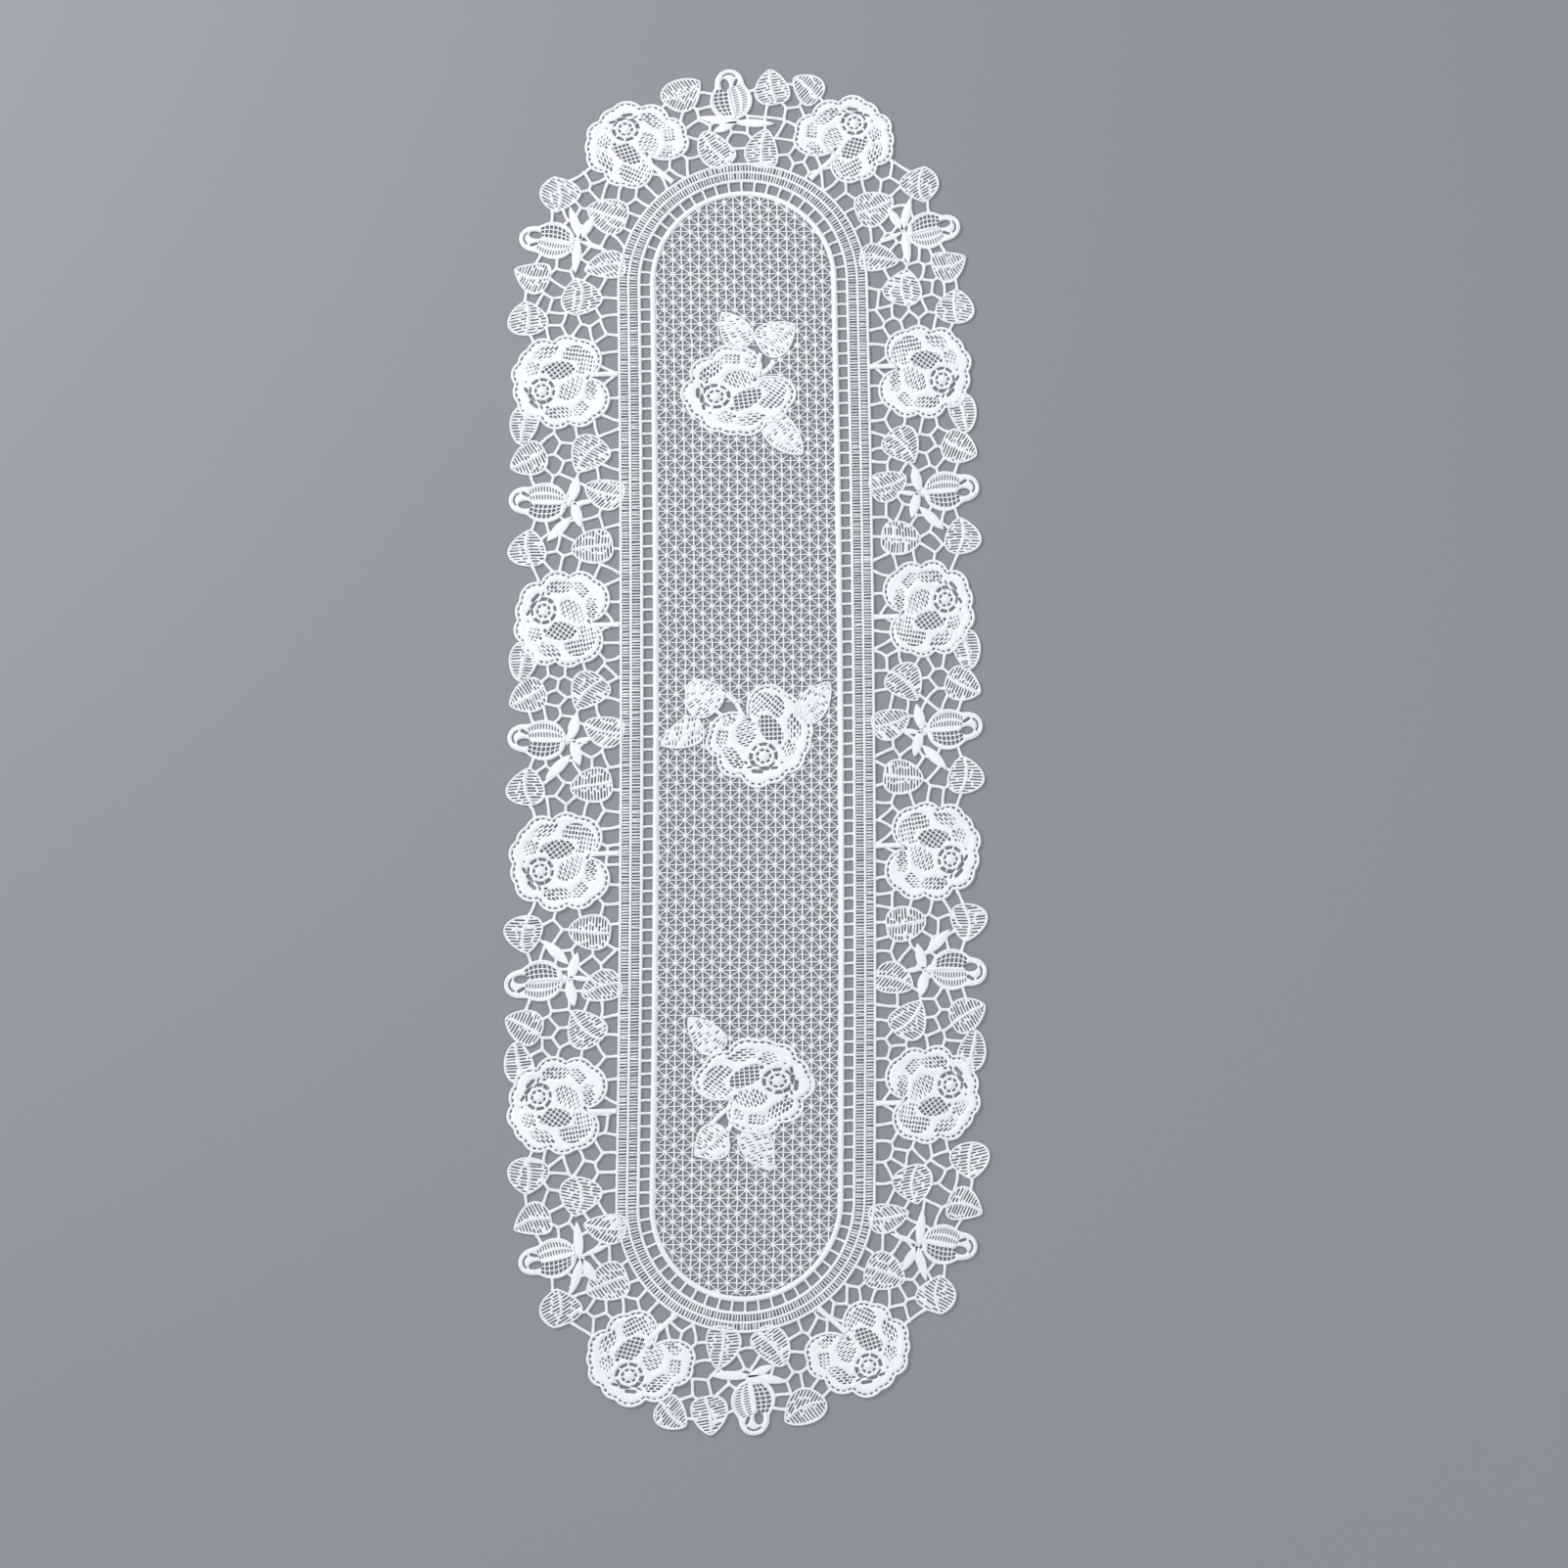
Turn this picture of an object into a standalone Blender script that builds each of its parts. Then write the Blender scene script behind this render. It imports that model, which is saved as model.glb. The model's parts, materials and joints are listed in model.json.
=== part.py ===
import math
from collections import namedtuple

import bpy
import numpy as np
from mathutils import Vector
from mathutils.geometry import delaunay_2d_cdt

# Sizes in millimetres. u runs across the runner, v along it, both from its middle
MM = 0.001
HALF_LONG = 457.0
GROUND = 1.0
BAR_WIDE = 1.7
SKEW = 0.026
BOW = 5.0
LEAN = 0.002
RIGHT_DRAWN = 0.05
DRAWN_FROM = 60.0
MOST_GAPS = 246
LEAST_WALL = 0.6
LEAST_APART = 1.6
TRIM = 0.5
CLEAR = 1.2

# The border band: half widths of its rails and rows, and the round ends
BAND_OUT = 85.7
LADDER_OUT = 69.8
LADDER_IN = 63.2
FIELD_IN = 60.0
ARC_CENTRE = 308.0
END_SQUEEZE = 0.84
LADDER_PITCH = 8.5
LADDER_BAR = 1.6
END_STEPS = 24
SIDE_STEPS = 8
RAIL_END_STEPS = 16
RAIL_SIDE_STEPS = 6

# Bars of the open ground between the motifs
CELL_GAP = 10.9
SPREAD_STEP = 1.5
SPREAD_ROUNDS = 6
SEED = 11
UNEVEN = (0.8, 1.0)
EDGE_OUT = 3.0
EDGE_SPARE = 1.02
BAR_SPILL = 1.0
RUN_STEP = 0.25
FAR = 600.0
FAR_POINTS = 24
FAR_SEEDS = (900.0, 1100.0)
CHUNK = 4000
ROUND_WAY = 100.0
ROUND_STEPS = 240

# How closely the outlines are merged, and the least length that counts as a line
MERGE = 1e-4
LEAST_LINE = 1e-6

Rail = namedtuple("Rail", "radius height")
RAILS = (
    Rail(84.9, 1.9),
    Rail(82.6, 1.2),
    Rail(79.0, 2.1),
    Rail(75.4, 1.2),
    Rail(71.7, 1.9),
    Rail(61.9, 1.9),
)

Petal = namedtuple("Petal", "x y reach")
PETALS = (
    Petal(13.5, 16.8, 14.2),
    Petal(4.1, 22.3, 11.0),
    Petal(-11.6, 19.4, 10.8),
    Petal(-17.5, 13.4, 10.0),
    Petal(-22.2, 4.9, 9.4),
    Petal(-19.2, -7.2, 10.4),
    Petal(-14.8, -15.0, 11.2),
    Petal(0.0, -20.9, 11.4),
    Petal(15.5, -18.5, 11.6),
    Petal(20.2, -10.5, 14.4),
)
NOTCH_WIDE = 0.62
Well = namedtuple("Well", "x y long wide turn")
ROSE_EYE = Well(-10.0, -6.0, 5.2, 5.2, 0.0)
ROSE_WELL = Well(-1.5, 7.5, 9.5, 4.5, 10.0)

# A row for each motif: its middle, length, width and the way its tip points
Leaf = namedtuple("Leaf", "name u v long wide turn blunt taper bend edge")
Rose = namedtuple("Rose", "name u v wide high turn flip deep notch edge")
Bud = namedtuple("Bud", "name u v turn long wide flip edge")
Sepal = namedtuple("Sepal", "u0 v0 u1 v1 wide")

SECTION_LEAVES = (
    Leaf("outer_low", -150.0, -29.0, 28.0, 20.5, -104.0, 0.34, 0.58, -1.0, True),
    Leaf("outer_point", -147.0, -53.0, 27.0, 24.0, -152.0, 0.40, 0.72, 1.0, True),
    Leaf("inner_low", -106.5, -51.0, 28.5, 26.5, -135.0, 0.42, 0.78, -3.5, False),
    Leaf("band_leaf", -96.0, -77.5, 28.0, 22.0, 164.0, 0.34, 0.60, 2.0, False),
    Leaf("outer_high", -147.0, -114.5, 26.0, 26.5, 98.0, 0.52, 0.74, 4.0, True),
    Leaf("inner_high", -104.0, -114.0, 29.0, 24.5, 187.0, 0.34, 0.56, 0.0, False),
)
SECTION_BUD = Bud("side_bud", -120.5, -83.5, 178.0, 0.98, 0.98, 1, True)
SECTION_SEPALS = (
    Sepal(-118.5, -82.5, -114.6, -66.5, 5.4),
    Sepal(-117.0, -84.5, -103.5, -82.5, 2.6),
    Sepal(-117.5, -83.0, -112.8, -99.5, 5.2),
    Sepal(-119.2, -94.0, -134.2, -108.2, 5.2),
)
# The leaves and bud between two roses come six times, each a little aside of the others
Section = namedtuple("Section", "view top side aside")
SECTIONS = (
    Section((1, 1), 243.0, 1, 1.0),
    Section((1, 1), 82.5, 1, 0.5),
    Section((1, 1), -242.5, -1, 0.0),
    Section((-1, 1), 243.0, 1, 0.6),
    Section((-1, 1), 82.0, 1, 0.2),
    Section((-1, 1), -243.0, -1, 1.5),
)

Stem = namedtuple("Stem", "u0 v0 u1 v1 wide")
SIDE_ROSES = (
    Rose("rose_1", -126.0, 242.0, 1.03, 1.00, -4.0, 1, 0.0, 0.0, True),
    Rose("rose_2", -125.5, 81.0, 1.00, 1.02, 5.0, -1, 0.0, 0.0, True),
    Rose("rose_3", -126.5, -82.0, 1.04, 1.02, -4.0, 1, 0.0, 0.0, True),
    Rose("rose_4", -126.0, -241.0, 1.02, 0.99, 4.0, -1, 0.0, 0.0, True),
)
STEM_WIDE = 2.9
STEM_OUT = -103.5
STEM_IN = -85.5
STEM_RISE = 5.0

CORNER_LEAVES = (
    Leaf("corner_1", -147.0, 285.0, 25.0, 28.5, 87.0, 0.52, 0.80, -2.0, True),
    Leaf("corner_2", -142.5, 315.0, 26.0, 23.0, 167.0, 0.38, 0.78, 3.5, True),
    Leaf("corner_3", -111.5, 299.0, 27.0, 29.0, 88.0, 0.64, 0.88, -4.0, False),
    Leaf("corner_4", -93.0, 320.5, 29.0, 20.5, 187.0, 0.34, 0.74, -1.5, False),
    Leaf("corner_5", -125.0, 372.0, 26.0, 29.0, -88.0, 0.82, 0.92, 3.5, True),
    Leaf("corner_6", -91.0, 356.0, 29.5, 26.0, 160.0, 0.34, 0.68, 1.0, False),
)
CORNER_BUD = Bud("corner_bud", -113.0, 336.0, 168.0, 0.95, 0.93, -1, True)
CORNER_SEPALS = (
    Sepal(-110.0, 339.5, -116.5, 361.0, 4.6),
    Sepal(-110.0, 340.5, -101.0, 354.5, 4.6),
    Sepal(-111.5, 339.5, -114.0, 317.5, 4.6),
    Sepal(-110.0, 338.0, -93.0, 331.5, 2.6),
)
CORNER_ROSE = Rose("corner_rose", -72.5, 405.3, 1.06, 0.95, -33.0, -1, 8.0, 0.26, True)
CORNER_STEM = Stem(-65.0, 393.5, -46.5, 377.5, 3.0)

END_LEAVES = (
    Leaf("end_1", -40.0, 440.0, 30.0, 24.5, 24.0, 0.58, 0.76, -3.5, True),
    Leaf("end_2", -17.0, 399.5, 30.0, 22.5, 132.0, 0.34, 0.52, 2.5, False),
    Leaf("end_3", 22.5, 442.0, 26.0, 25.0, 100.0, 0.38, 0.72, 1.5, True),
    Leaf("end_4", 46.5, 441.0, 24.0, 22.0, 134.0, 0.34, 0.72, -1.5, True),
    Leaf("end_5", 15.0, 399.0, 28.5, 24.0, 84.0, 0.34, 0.70, 2.0, False),
)
END_BUD = Bud("end_bud", -3.1, 419.6, 101.0, 0.89, 1.04, 1, True)
END_SEPALS = (
    Sepal(-3.5, 418.5, -26.5, 422.5, 4.2),
    Sepal(-3.5, 418.5, 21.5, 417.0, 4.2),
    Sepal(-3.5, 418.5, -17.6, 412.5, 4.2),
)

# How far each group of an end lies aside of the drawn one, outer motifs more than inner
Shift = namedtuple("Shift", "view outer inner along")
CORNER_SHIFTS = (
    Shift((1, 1), 0.0, 0.0, 1.4),
    Shift((-1, 1), 0.8, 0.2, 1.2),
    Shift((1, -1), 3.6, 1.6, -0.8),
    Shift((-1, -1), 3.8, 1.0, 0.8),
)
END_SHIFTS = (
    Shift((1, 1), 0.0, 0.0, 1.2),
    Shift((-1, -1), 0.3, 0.3, -0.3),
)

FIELD_ROSES = (
    Rose("field_rose_1", -6.5, 232.5, 1.17, 0.95, 47.0, -1, 7.5, -0.12, False),
    Rose("field_rose_2", 8.0, -3.0, 1.07, 1.04, 131.0, -1, 7.5, -0.12, False),
    Rose("field_rose_3", 6.0, -232.0, 1.20, 0.95, -136.0, -1, 7.5, -0.12, False),
)
FIELD_LEAVES = (
    Leaf("field_1", 21.4, 269.4, 29.5, 26.0, 30.0, 0.34, 0.76, -1.5, False),
    Leaf("field_2", -6.4, 274.4, 30.5, 21.5, 124.0, 0.46, 0.80, 0.0, False),
    Leaf("field_3", 25.5, 202.0, 36.0, 22.5, -50.0, 0.40, 0.72, -1.0, False),
    Leaf("field_4", -30.0, 25.0, 27.5, 27.0, 131.0, 0.42, 0.70, 0.5, False),
    Leaf("field_5", -43.6, 0.7, 31.5, 21.0, 204.0, 0.34, 0.80, 0.0, False),
    Leaf("field_6", 44.2, 19.6, 33.0, 21.0, 53.0, 0.46, 0.80, 0.0, False),
    Leaf("field_7", -23.5, -268.0, 27.0, 25.5, -137.0, 0.68, 1.02, 2.5, False),
    Leaf("field_8", 7.4, -272.6, 33.5, 22.0, -59.0, 0.48, 0.84, 0.0, False),
    Leaf("field_9", -27.6, -198.4, 32.0, 21.0, 137.0, 0.40, 0.78, 1.5, False),
)
FIELD_STEMS = (
    Stem(10.7, 244.2, 15.3, 247.0, 3.0),
    Stem(15.3, 247.0, 20.0, 252.6, 3.0),
    Stem(9.7, 244.2, 9.4, 252.6, 2.4),
    Stem(9.4, 252.6, 10.7, 258.2, 2.4),
    Stem(-3.0, 11.0, -8.0, 21.0, 2.6),
    Stem(-8.0, 21.0, -15.0, 27.0, 2.6),
    Stem(-15.0, 27.0, -21.0, 28.0, 2.6),
    Stem(-22.3, 16.5, -17.0, 12.6, 2.2),
    Stem(-10.3, -244.5, -20.0, -252.4, 2.6),
    Stem(-20.0, -252.4, -23.6, -256.8, 2.6),
    Stem(-9.4, -246.0, -9.8, -256.0, 2.4),
    Stem(-9.8, -256.0, -12.6, -261.0, 2.4),
)
FIELD_GAPS = (
    Well(13.3, 253.0, 5.6, 3.1, 82.0),
    Well(7.4, 260.4, 2.8, 1.8, -45.0),
    Well(-14.0, 17.0, 6.0, 3.8, -20.0),
    Well(-22.0, 11.0, 3.4, 2.1, 28.0),
    Well(-14.8, -253.8, 5.2, 3.2, 70.0),
    Well(-7.4, -260.4, 3.4, 1.8, -35.0),
)

LEAF_MIDDLE = 0.47
BUD_BODY = Well(16.0, 0.0, 14.9, 13.8, 0.0)
LOOP = Well(30.8, -1.5, 10.4, 9.2, 0.0)
BUD_HUB = (25.5, -0.8)
BUD_BLEND = 5.0
LOOP_EYE = Well(29.6, 1.6, 4.9, 2.8, 0.0)

MATERIAL_COLOUR = (0.93, 0.94, 0.96, 1.0)

# Heights of the raised points, with how far in from the outline their ring stands
LEAF_FACE = (0.74, 0.72, 1.55)
LEAF_RIB = (-0.2, 0.16, 2.1)
BUD_FACE = (0.76, 1.6)
BUD_RIB = (9.5, 20.5, 2.1)
BUD_TIP = (6.4, 2.0)
ROSE_RIM = (1.8, 2.0)
ROSE_FACE = (8.0, 1.5)
EYE_RIM = 2.4
EYE_MIDDLE = 1.6
WELL_FLOOR = 1.15
STRIP_RIB = 2.0

Shape = namedtuple("Shape", "kind name frame origin size edge")
Strip = namedtuple("Strip", "start end wide lens")


def clear_scene():
    for thing in list(bpy.data.objects):
        bpy.data.objects.remove(thing, do_unlink=True)


def rotation(degrees):
    c = math.cos(math.radians(degrees))
    s = math.sin(math.radians(degrees))
    return np.array([[c, -s], [s, c]])


def ellipse(count, long, wide, x=0.0, y=0.0, turn=0.0):
    t = np.arange(count) * 2.0 * math.pi / count
    ring = np.stack([long * np.cos(t), wide * np.sin(t)], 1)
    return ring @ rotation(turn).T + (x, y)


def leaf_outline(count, long, wide, blunt, taper, bend):
    """A leaf along x, tip ahead; its midrib bends sideways by the bend at its middle."""
    t = np.arange(count) * 2.0 * math.pi / count
    s = 0.5 - 0.5 * np.cos(t)
    fullest = blunt / (blunt + taper)
    swell = (s / fullest) ** blunt * ((1.0 - s) / (1.0 - fullest)) ** taper
    side = np.where(t < math.pi, -1.0, 1.0)
    across = 0.5 * wide * side * swell + leaf_bend(s, bend)
    return np.stack([long * (s - LEAF_MIDDLE), across], 1)


def leaf_bend(share, bend):
    return bend * (1.0 - (2.0 * share - 1.0) ** 2 - 0.5)


def petal_reach(angle, deep=0.0, notch=0.0):
    """The rose's outline from its middle, with how much deeper its stem's notch is, and where."""
    ray = np.stack([np.cos(angle), np.sin(angle)], 1)
    best = np.zeros(len(angle))
    for petal in PETALS:
        along = ray @ np.array([petal.x, petal.y])
        inside = along**2 - petal.x**2 - petal.y**2 + petal.reach**2
        hit = along + np.sqrt(np.maximum(inside, 0.0))
        best = np.maximum(best, np.where(inside > 0.0, hit, 0.0))
    off = np.angle(np.exp(1j * (angle - notch))) / NOTCH_WIDE
    return best - deep * np.exp(-(off**2))


def rose_outline(count, inset=0.0, deep=0.0, notch=0.0):
    angle = np.arange(count) * 2.0 * math.pi / count
    reach = petal_reach(angle, deep, notch) - inset
    return np.stack([reach * np.cos(angle), reach * np.sin(angle)], 1)


def ray_reach(ray, hub, well):
    """How far each ray from the hub runs inside an ellipse that holds the hub."""
    half = np.array([well.long, well.wide])
    start = (hub - np.array([well.x, well.y])) / half
    way = ray / half
    a, b, c = (way**2).sum(1), way @ start, start @ start - 1.0
    return (np.sqrt(b**2 - a * c) - b) / a


def bud_outline(count, inset=0.0):
    """The bud's body and the loop at its tip as one outline."""
    angle = np.arange(ROUND_STEPS) * 2.0 * math.pi / ROUND_STEPS
    ray = np.stack([np.cos(angle), np.sin(angle)], 1)
    both = ray_reach(ray, BUD_HUB, BUD_BODY), ray_reach(ray, BUD_HUB, LOOP)
    reach = np.linalg.norm(both, BUD_BLEND, axis=0)
    return evenly(BUD_HUB + ray * (reach - inset)[:, None], count)


def evenly(ring, count):
    """A closed ring with this many points, evenly apart."""
    closed = np.concatenate([ring, ring[:1]])
    way = np.concatenate([[0.0], np.cumsum(np.linalg.norm(np.diff(closed, axis=0), axis=1))])
    at = np.arange(count) * way[-1] / count
    return np.stack([np.interp(at, way, closed[:, axis]) for axis in (0, 1)], 1)


def lens(start, end, wide, count=6):
    start = np.asarray(start, float)
    way = np.asarray(end, float) - start
    across = np.array([-way[1], way[0]]) / np.linalg.norm(way)
    s = np.linspace(0.0, 1.0, count)
    half = 0.5 * wide * (0.34 + 0.66 * np.sin(math.pi * s) ** 0.8)
    top = start + np.outer(s, way) + np.outer(half, across)
    low = start + np.outer(s, way) - np.outer(half, across)
    return np.concatenate([low, top[::-1]])


def quad(start, end, wide, spill=0.0):
    start = np.asarray(start, float)
    end = np.asarray(end, float)
    way = (end - start) / max(np.linalg.norm(end - start), LEAST_LINE)
    across = 0.5 * wide * np.array([-way[1], way[0]])
    a = start - spill * way
    b = end + spill * way
    return np.array([a - across, b - across, b + across, a + across])


def placed(shape, points):
    return points @ shape.frame.T + shape.origin


def shape_of(kind, row, view, aside=(0.0, 0.0), flip_v=1):
    mirror = np.diag(view).astype(float)
    flip = getattr(row, "flip", 1)
    frame = rotation(row.turn) @ np.diag([1.0, float(flip)])
    size = ()
    if kind == "leaf":
        size = (row.long, row.wide, row.blunt, row.taper, row.bend)
    if kind == "rose":
        size = (row.deep, row.notch)
        frame = np.diag([row.wide, row.high]) @ frame
    if kind == "bud":
        frame = frame @ np.diag([row.long, row.wide])
    tilt = np.diag([1.0, float(flip_v)])
    origin = mirror @ tilt @ np.array([row.u, row.v]) + aside
    return Shape(kind, row.name, mirror @ tilt @ frame, origin, size, row.edge)


def layout():
    shapes = []
    strips = []
    for view in ((1, 1), (-1, 1)):
        for rose in SIDE_ROSES:
            shapes.append(shape_of("rose", rose, view))
            stem_v = rose.v + rose.flip * STEM_RISE
            stem = Stem(STEM_OUT, stem_v, STEM_IN, stem_v, STEM_WIDE)
            strips.append(strip_of(stem, view, (0.0, 0.0), False))
    for section in SECTIONS:
        aside = (section.aside, section.top)
        for leaf in SECTION_LEAVES:
            shapes.append(shape_of("leaf", leaf, section.view, aside, section.side))
        shapes.append(shape_of("bud", SECTION_BUD, section.view, aside, section.side))
        for sepal in SECTION_SEPALS:
            strips.append(strip_of(sepal, section.view, aside, True, section.side))
    for shift in CORNER_SHIFTS:
        add_group(shapes, strips, shift, CORNER_LEAVES, CORNER_BUD, CORNER_SEPALS)
        outer = (shift.outer, shift.along)
        inner = (shift.inner, shift.along)
        shapes.append(shape_of("rose", CORNER_ROSE, shift.view, outer))
        strips.append(strip_of(CORNER_STEM, shift.view, inner, False))
    for shift in END_SHIFTS:
        add_group(shapes, strips, shift, END_LEAVES, END_BUD, END_SEPALS)
    shapes += [shape_of("rose", rose, (1, 1)) for rose in FIELD_ROSES]
    shapes += [shape_of("leaf", leaf, (1, 1)) for leaf in FIELD_LEAVES]
    strips += [strip_of(stem, (1, 1), (0.0, 0.0), False) for stem in FIELD_STEMS]
    return shapes, strips


def add_group(shapes, strips, shift, leaves, bud, sepals):
    outer = (shift.outer, shift.along)
    inner = (shift.inner, shift.along)
    for leaf in leaves:
        shapes.append(shape_of("leaf", leaf, shift.view, outer if leaf.edge else inner))
    shapes.append(shape_of("bud", bud, shift.view, outer))
    for sepal in sepals:
        strips.append(strip_of(sepal, shift.view, outer, True))


def strip_of(row, view, aside, lens_shaped, flip_v=1):
    mirror = np.array(view) * (1, flip_v)
    start = np.array([row.u0, row.v0]) * mirror + aside
    end = np.array([row.u1, row.v1]) * mirror + aside
    return Strip(start, end, row.wide, lens_shaped)


def strip_ring(strip):
    """The outline of a sepal, pointed at its tip, or of a plain stem."""
    draw = lens if strip.lens else quad
    return counterclockwise(draw(strip.start, strip.end, strip.wide))


def counterclockwise(points):
    x, y = points[:, 0], points[:, 1]
    area = np.sum(x * np.roll(y, -1) - y * np.roll(x, -1))
    return points if area > 0.0 else points[::-1]


def outline(shape, rough):
    """The closed outline of one motif, as seen from above."""
    if shape.kind == "leaf":
        ring = leaf_outline(12 if rough else 40, *shape.size)
    elif shape.kind == "rose":
        ring = rose_outline(36 if rough else 120, 0.0, *shape.size)
    else:
        ring = bud_outline(22 if rough else 70)
    return counterclockwise(placed(shape, ring))


def band_radius(radius, angle):
    """The band is a little narrower over the round ends than along the sides."""
    over = max(radius - LADDER_OUT, 0.0)
    lift = abs(math.sin(angle))
    return radius - over * (1.0 - END_SQUEEZE) * lift


def band_ring(radius, side_steps=SIDE_STEPS, end_steps=END_STEPS):
    points = []
    for end in (1, -1):
        for k in range(end_steps + 1):
            angle = math.pi * k / end_steps
            reach = band_radius(radius, angle)
            across = end * reach * math.cos(angle)
            along = end * (ARC_CENTRE + reach * math.sin(angle))
            points.append((across, along))
        for k in range(1, side_steps):
            along = ARC_CENTRE * (1.0 - 2.0 * k / side_steps)
            points.append((-end * radius, end * along))
    return np.array(points)


def ladder_gaps():
    """Every second bar of the ladder row is kept, so each gap is two gaps long."""
    gaps = []
    pitch = 2.0 * LADDER_PITCH
    per_side = round(2.0 * ARC_CENTRE / pitch)
    half = 0.5 * LADDER_BAR
    step = 2.0 * ARC_CENTRE / per_side
    for side in (1, -1):
        for k in range(per_side):
            low = -ARC_CENTRE + k * step + half
            high = low + step - LADDER_BAR
            u0, u1 = side * LADDER_IN, side * LADDER_OUT
            gaps.append(np.array([(u0, low), (u1, low), (u1, high), (u0, high)]))
    per_end = 12
    turn = math.pi / per_end
    for end in (1, -1):
        for k in range(per_end):
            ring = []
            for radius, way in ((LADDER_IN, 1), (LADDER_OUT, -1)):
                pull = half / radius
                angles = np.linspace(k * turn + pull, (k + 1) * turn - pull, 3)
                for angle in angles[::way]:
                    across = end * radius * math.cos(angle)
                    along = end * (ARC_CENTRE + radius * math.sin(angle))
                    ring.append((across, along))
            gaps.append(np.array(ring))
    return [counterclockwise(gap) for gap in gaps]


def inside(points, ring):
    """True for each point that lies inside the closed ring."""
    x, y = points[:, 0], points[:, 1]
    x0, y0 = ring[:, 0], ring[:, 1]
    x1, y1 = np.roll(x0, -1), np.roll(y0, -1)
    found = np.zeros(len(points), bool)
    box = (x >= x0.min()) & (x <= x0.max()) & (y >= y0.min()) & (y <= y0.max())
    if not box.any():
        return found
    px, py = x[box][:, None], y[box][:, None]
    crosses = (y0 > py) != (y1 > py)
    with np.errstate(divide="ignore", invalid="ignore"):
        at = x0 + (py - y0) * (x1 - x0) / (y1 - y0)
    found[box] = (np.sum(crosses & (px < at), axis=1) % 2) == 1
    return found


def along_border(point):
    """Where a point stands on its way round the border, for sorting."""
    u, v = point
    half_turn = math.pi * ROUND_WAY
    if v > ARC_CENTRE:
        return ARC_CENTRE + math.atan2(v - ARC_CENTRE, u) * ROUND_WAY
    if v < -ARC_CENTRE:
        angle = math.atan2(v + ARC_CENTRE, u) + math.pi
        return ARC_CENTRE * 3 + half_turn + angle * ROUND_WAY
    if u < 0:
        return ARC_CENTRE * 2 + half_turn - v
    return v if v > 0 else ARC_CENTRE * 4 + 2 * half_turn + v


def border_edge(shapes):
    """The line that joins the outer motifs, along which the outer bars run."""
    anchors = []
    for shape in shapes:
        if not shape.edge:
            continue
        middle = shape.origin
        if shape.kind == "bud":
            middle = placed(shape, np.array([[BUD_BODY.x, 0.0]]))[0]
        rest = np.array([0.0, max(min(middle[1], ARC_CENTRE), -ARC_CENTRE)])
        way = middle - rest
        anchors.append(middle + EDGE_OUT * way / np.linalg.norm(way))
    anchors.sort(key=along_border)
    return np.array(anchors)


def open_ground(points, edge, band, solids):
    free = inside(points, edge) & ~inside(points, band)
    for ring in solids:
        free &= ~inside(points, ring)
    return free


def nearest(points, seeds):
    best = np.zeros(len(points), int)
    for start in range(0, len(points), CHUNK):
        part = points[start : start + CHUNK]
        gap = ((part[:, None, :] - seeds[None, :, :]) ** 2).sum(2)
        best[start : start + CHUNK] = gap.argmin(1)
    return best


def spread_seeds(edge, band, solids):
    """One point for each cell of the ground, evenly apart but in no order."""
    low, high = edge.min(0), edge.max(0)
    axes = [np.arange(a, b, SPREAD_STEP) for a, b in zip(low, high)]
    lattice = np.stack(np.meshgrid(*axes), -1).reshape(-1, 2)
    lattice = lattice[open_ground(lattice, edge, band, solids)]
    uneven = np.random.default_rng(SEED).uniform(*UNEVEN, len(lattice))
    gap = np.full(len(lattice), 2.0 * FAR)
    picked = []
    while not picked or gap.max() > CELL_GAP:
        far = int((gap * uneven).argmax())
        picked.append(lattice[far])
        gap = np.minimum(gap, np.hypot(*(lattice - lattice[far]).T))
    seeds = np.array(picked)
    for _ in range(SPREAD_ROUNDS):
        owner = nearest(lattice, seeds)
        total = np.maximum(np.bincount(owner, minlength=len(seeds)), 1)
        for axis in (0, 1):
            mean = np.bincount(owner, lattice[:, axis], len(seeds)) / total
            seeds[:, axis] = np.where(total > 1, mean, seeds[:, axis])
    return seeds


def centre_of(a, b, c):
    """The point equally far from three others."""
    d = 2.0 * ((b[0] - a[0]) * (c[1] - a[1]) - (b[1] - a[1]) * (c[0] - a[0]))
    if abs(d) < LEAST_LINE:
        return None
    p = (b - a) @ (b - a)
    q = (c - a) @ (c - a)
    x = ((c[1] - a[1]) * p - (b[1] - a[1]) * q) / d
    y = ((b[0] - a[0]) * q - (c[0] - a[0]) * p) / d
    return a + np.array([x, y])


def cell_walls(seeds):
    """The straight walls midway between neighbouring seeds."""
    every = np.concatenate([seeds, ellipse(FAR_POINTS, *FAR_SEEDS)])
    flat = [Vector(point) for point in every]
    result = delaunay_2d_cdt(flat, [], [], 0, LEAST_LINE)
    place = np.array([tuple(point) for point in result[0]])
    beside = {}
    for face in result[2]:
        centre = centre_of(*[place[k] for k in face])
        if centre is None:
            continue
        for k in range(3):
            pair = (min(face[k], face[k - 1]), max(face[k], face[k - 1]))
            beside.setdefault(pair, []).append(centre)
    walls = []
    for ends in beside.values():
        if len(ends) < 2 or min(abs(end).max() for end in ends) > FAR:
            continue
        start, end = sorted(ends, key=lambda point: abs(point).max())
        way = end - start
        length = np.linalg.norm(way)
        if length > LEAST_LINE:
            walls.append((start, start + way * min(1.0, 0.5 * FAR / length)))
    return walls


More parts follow.
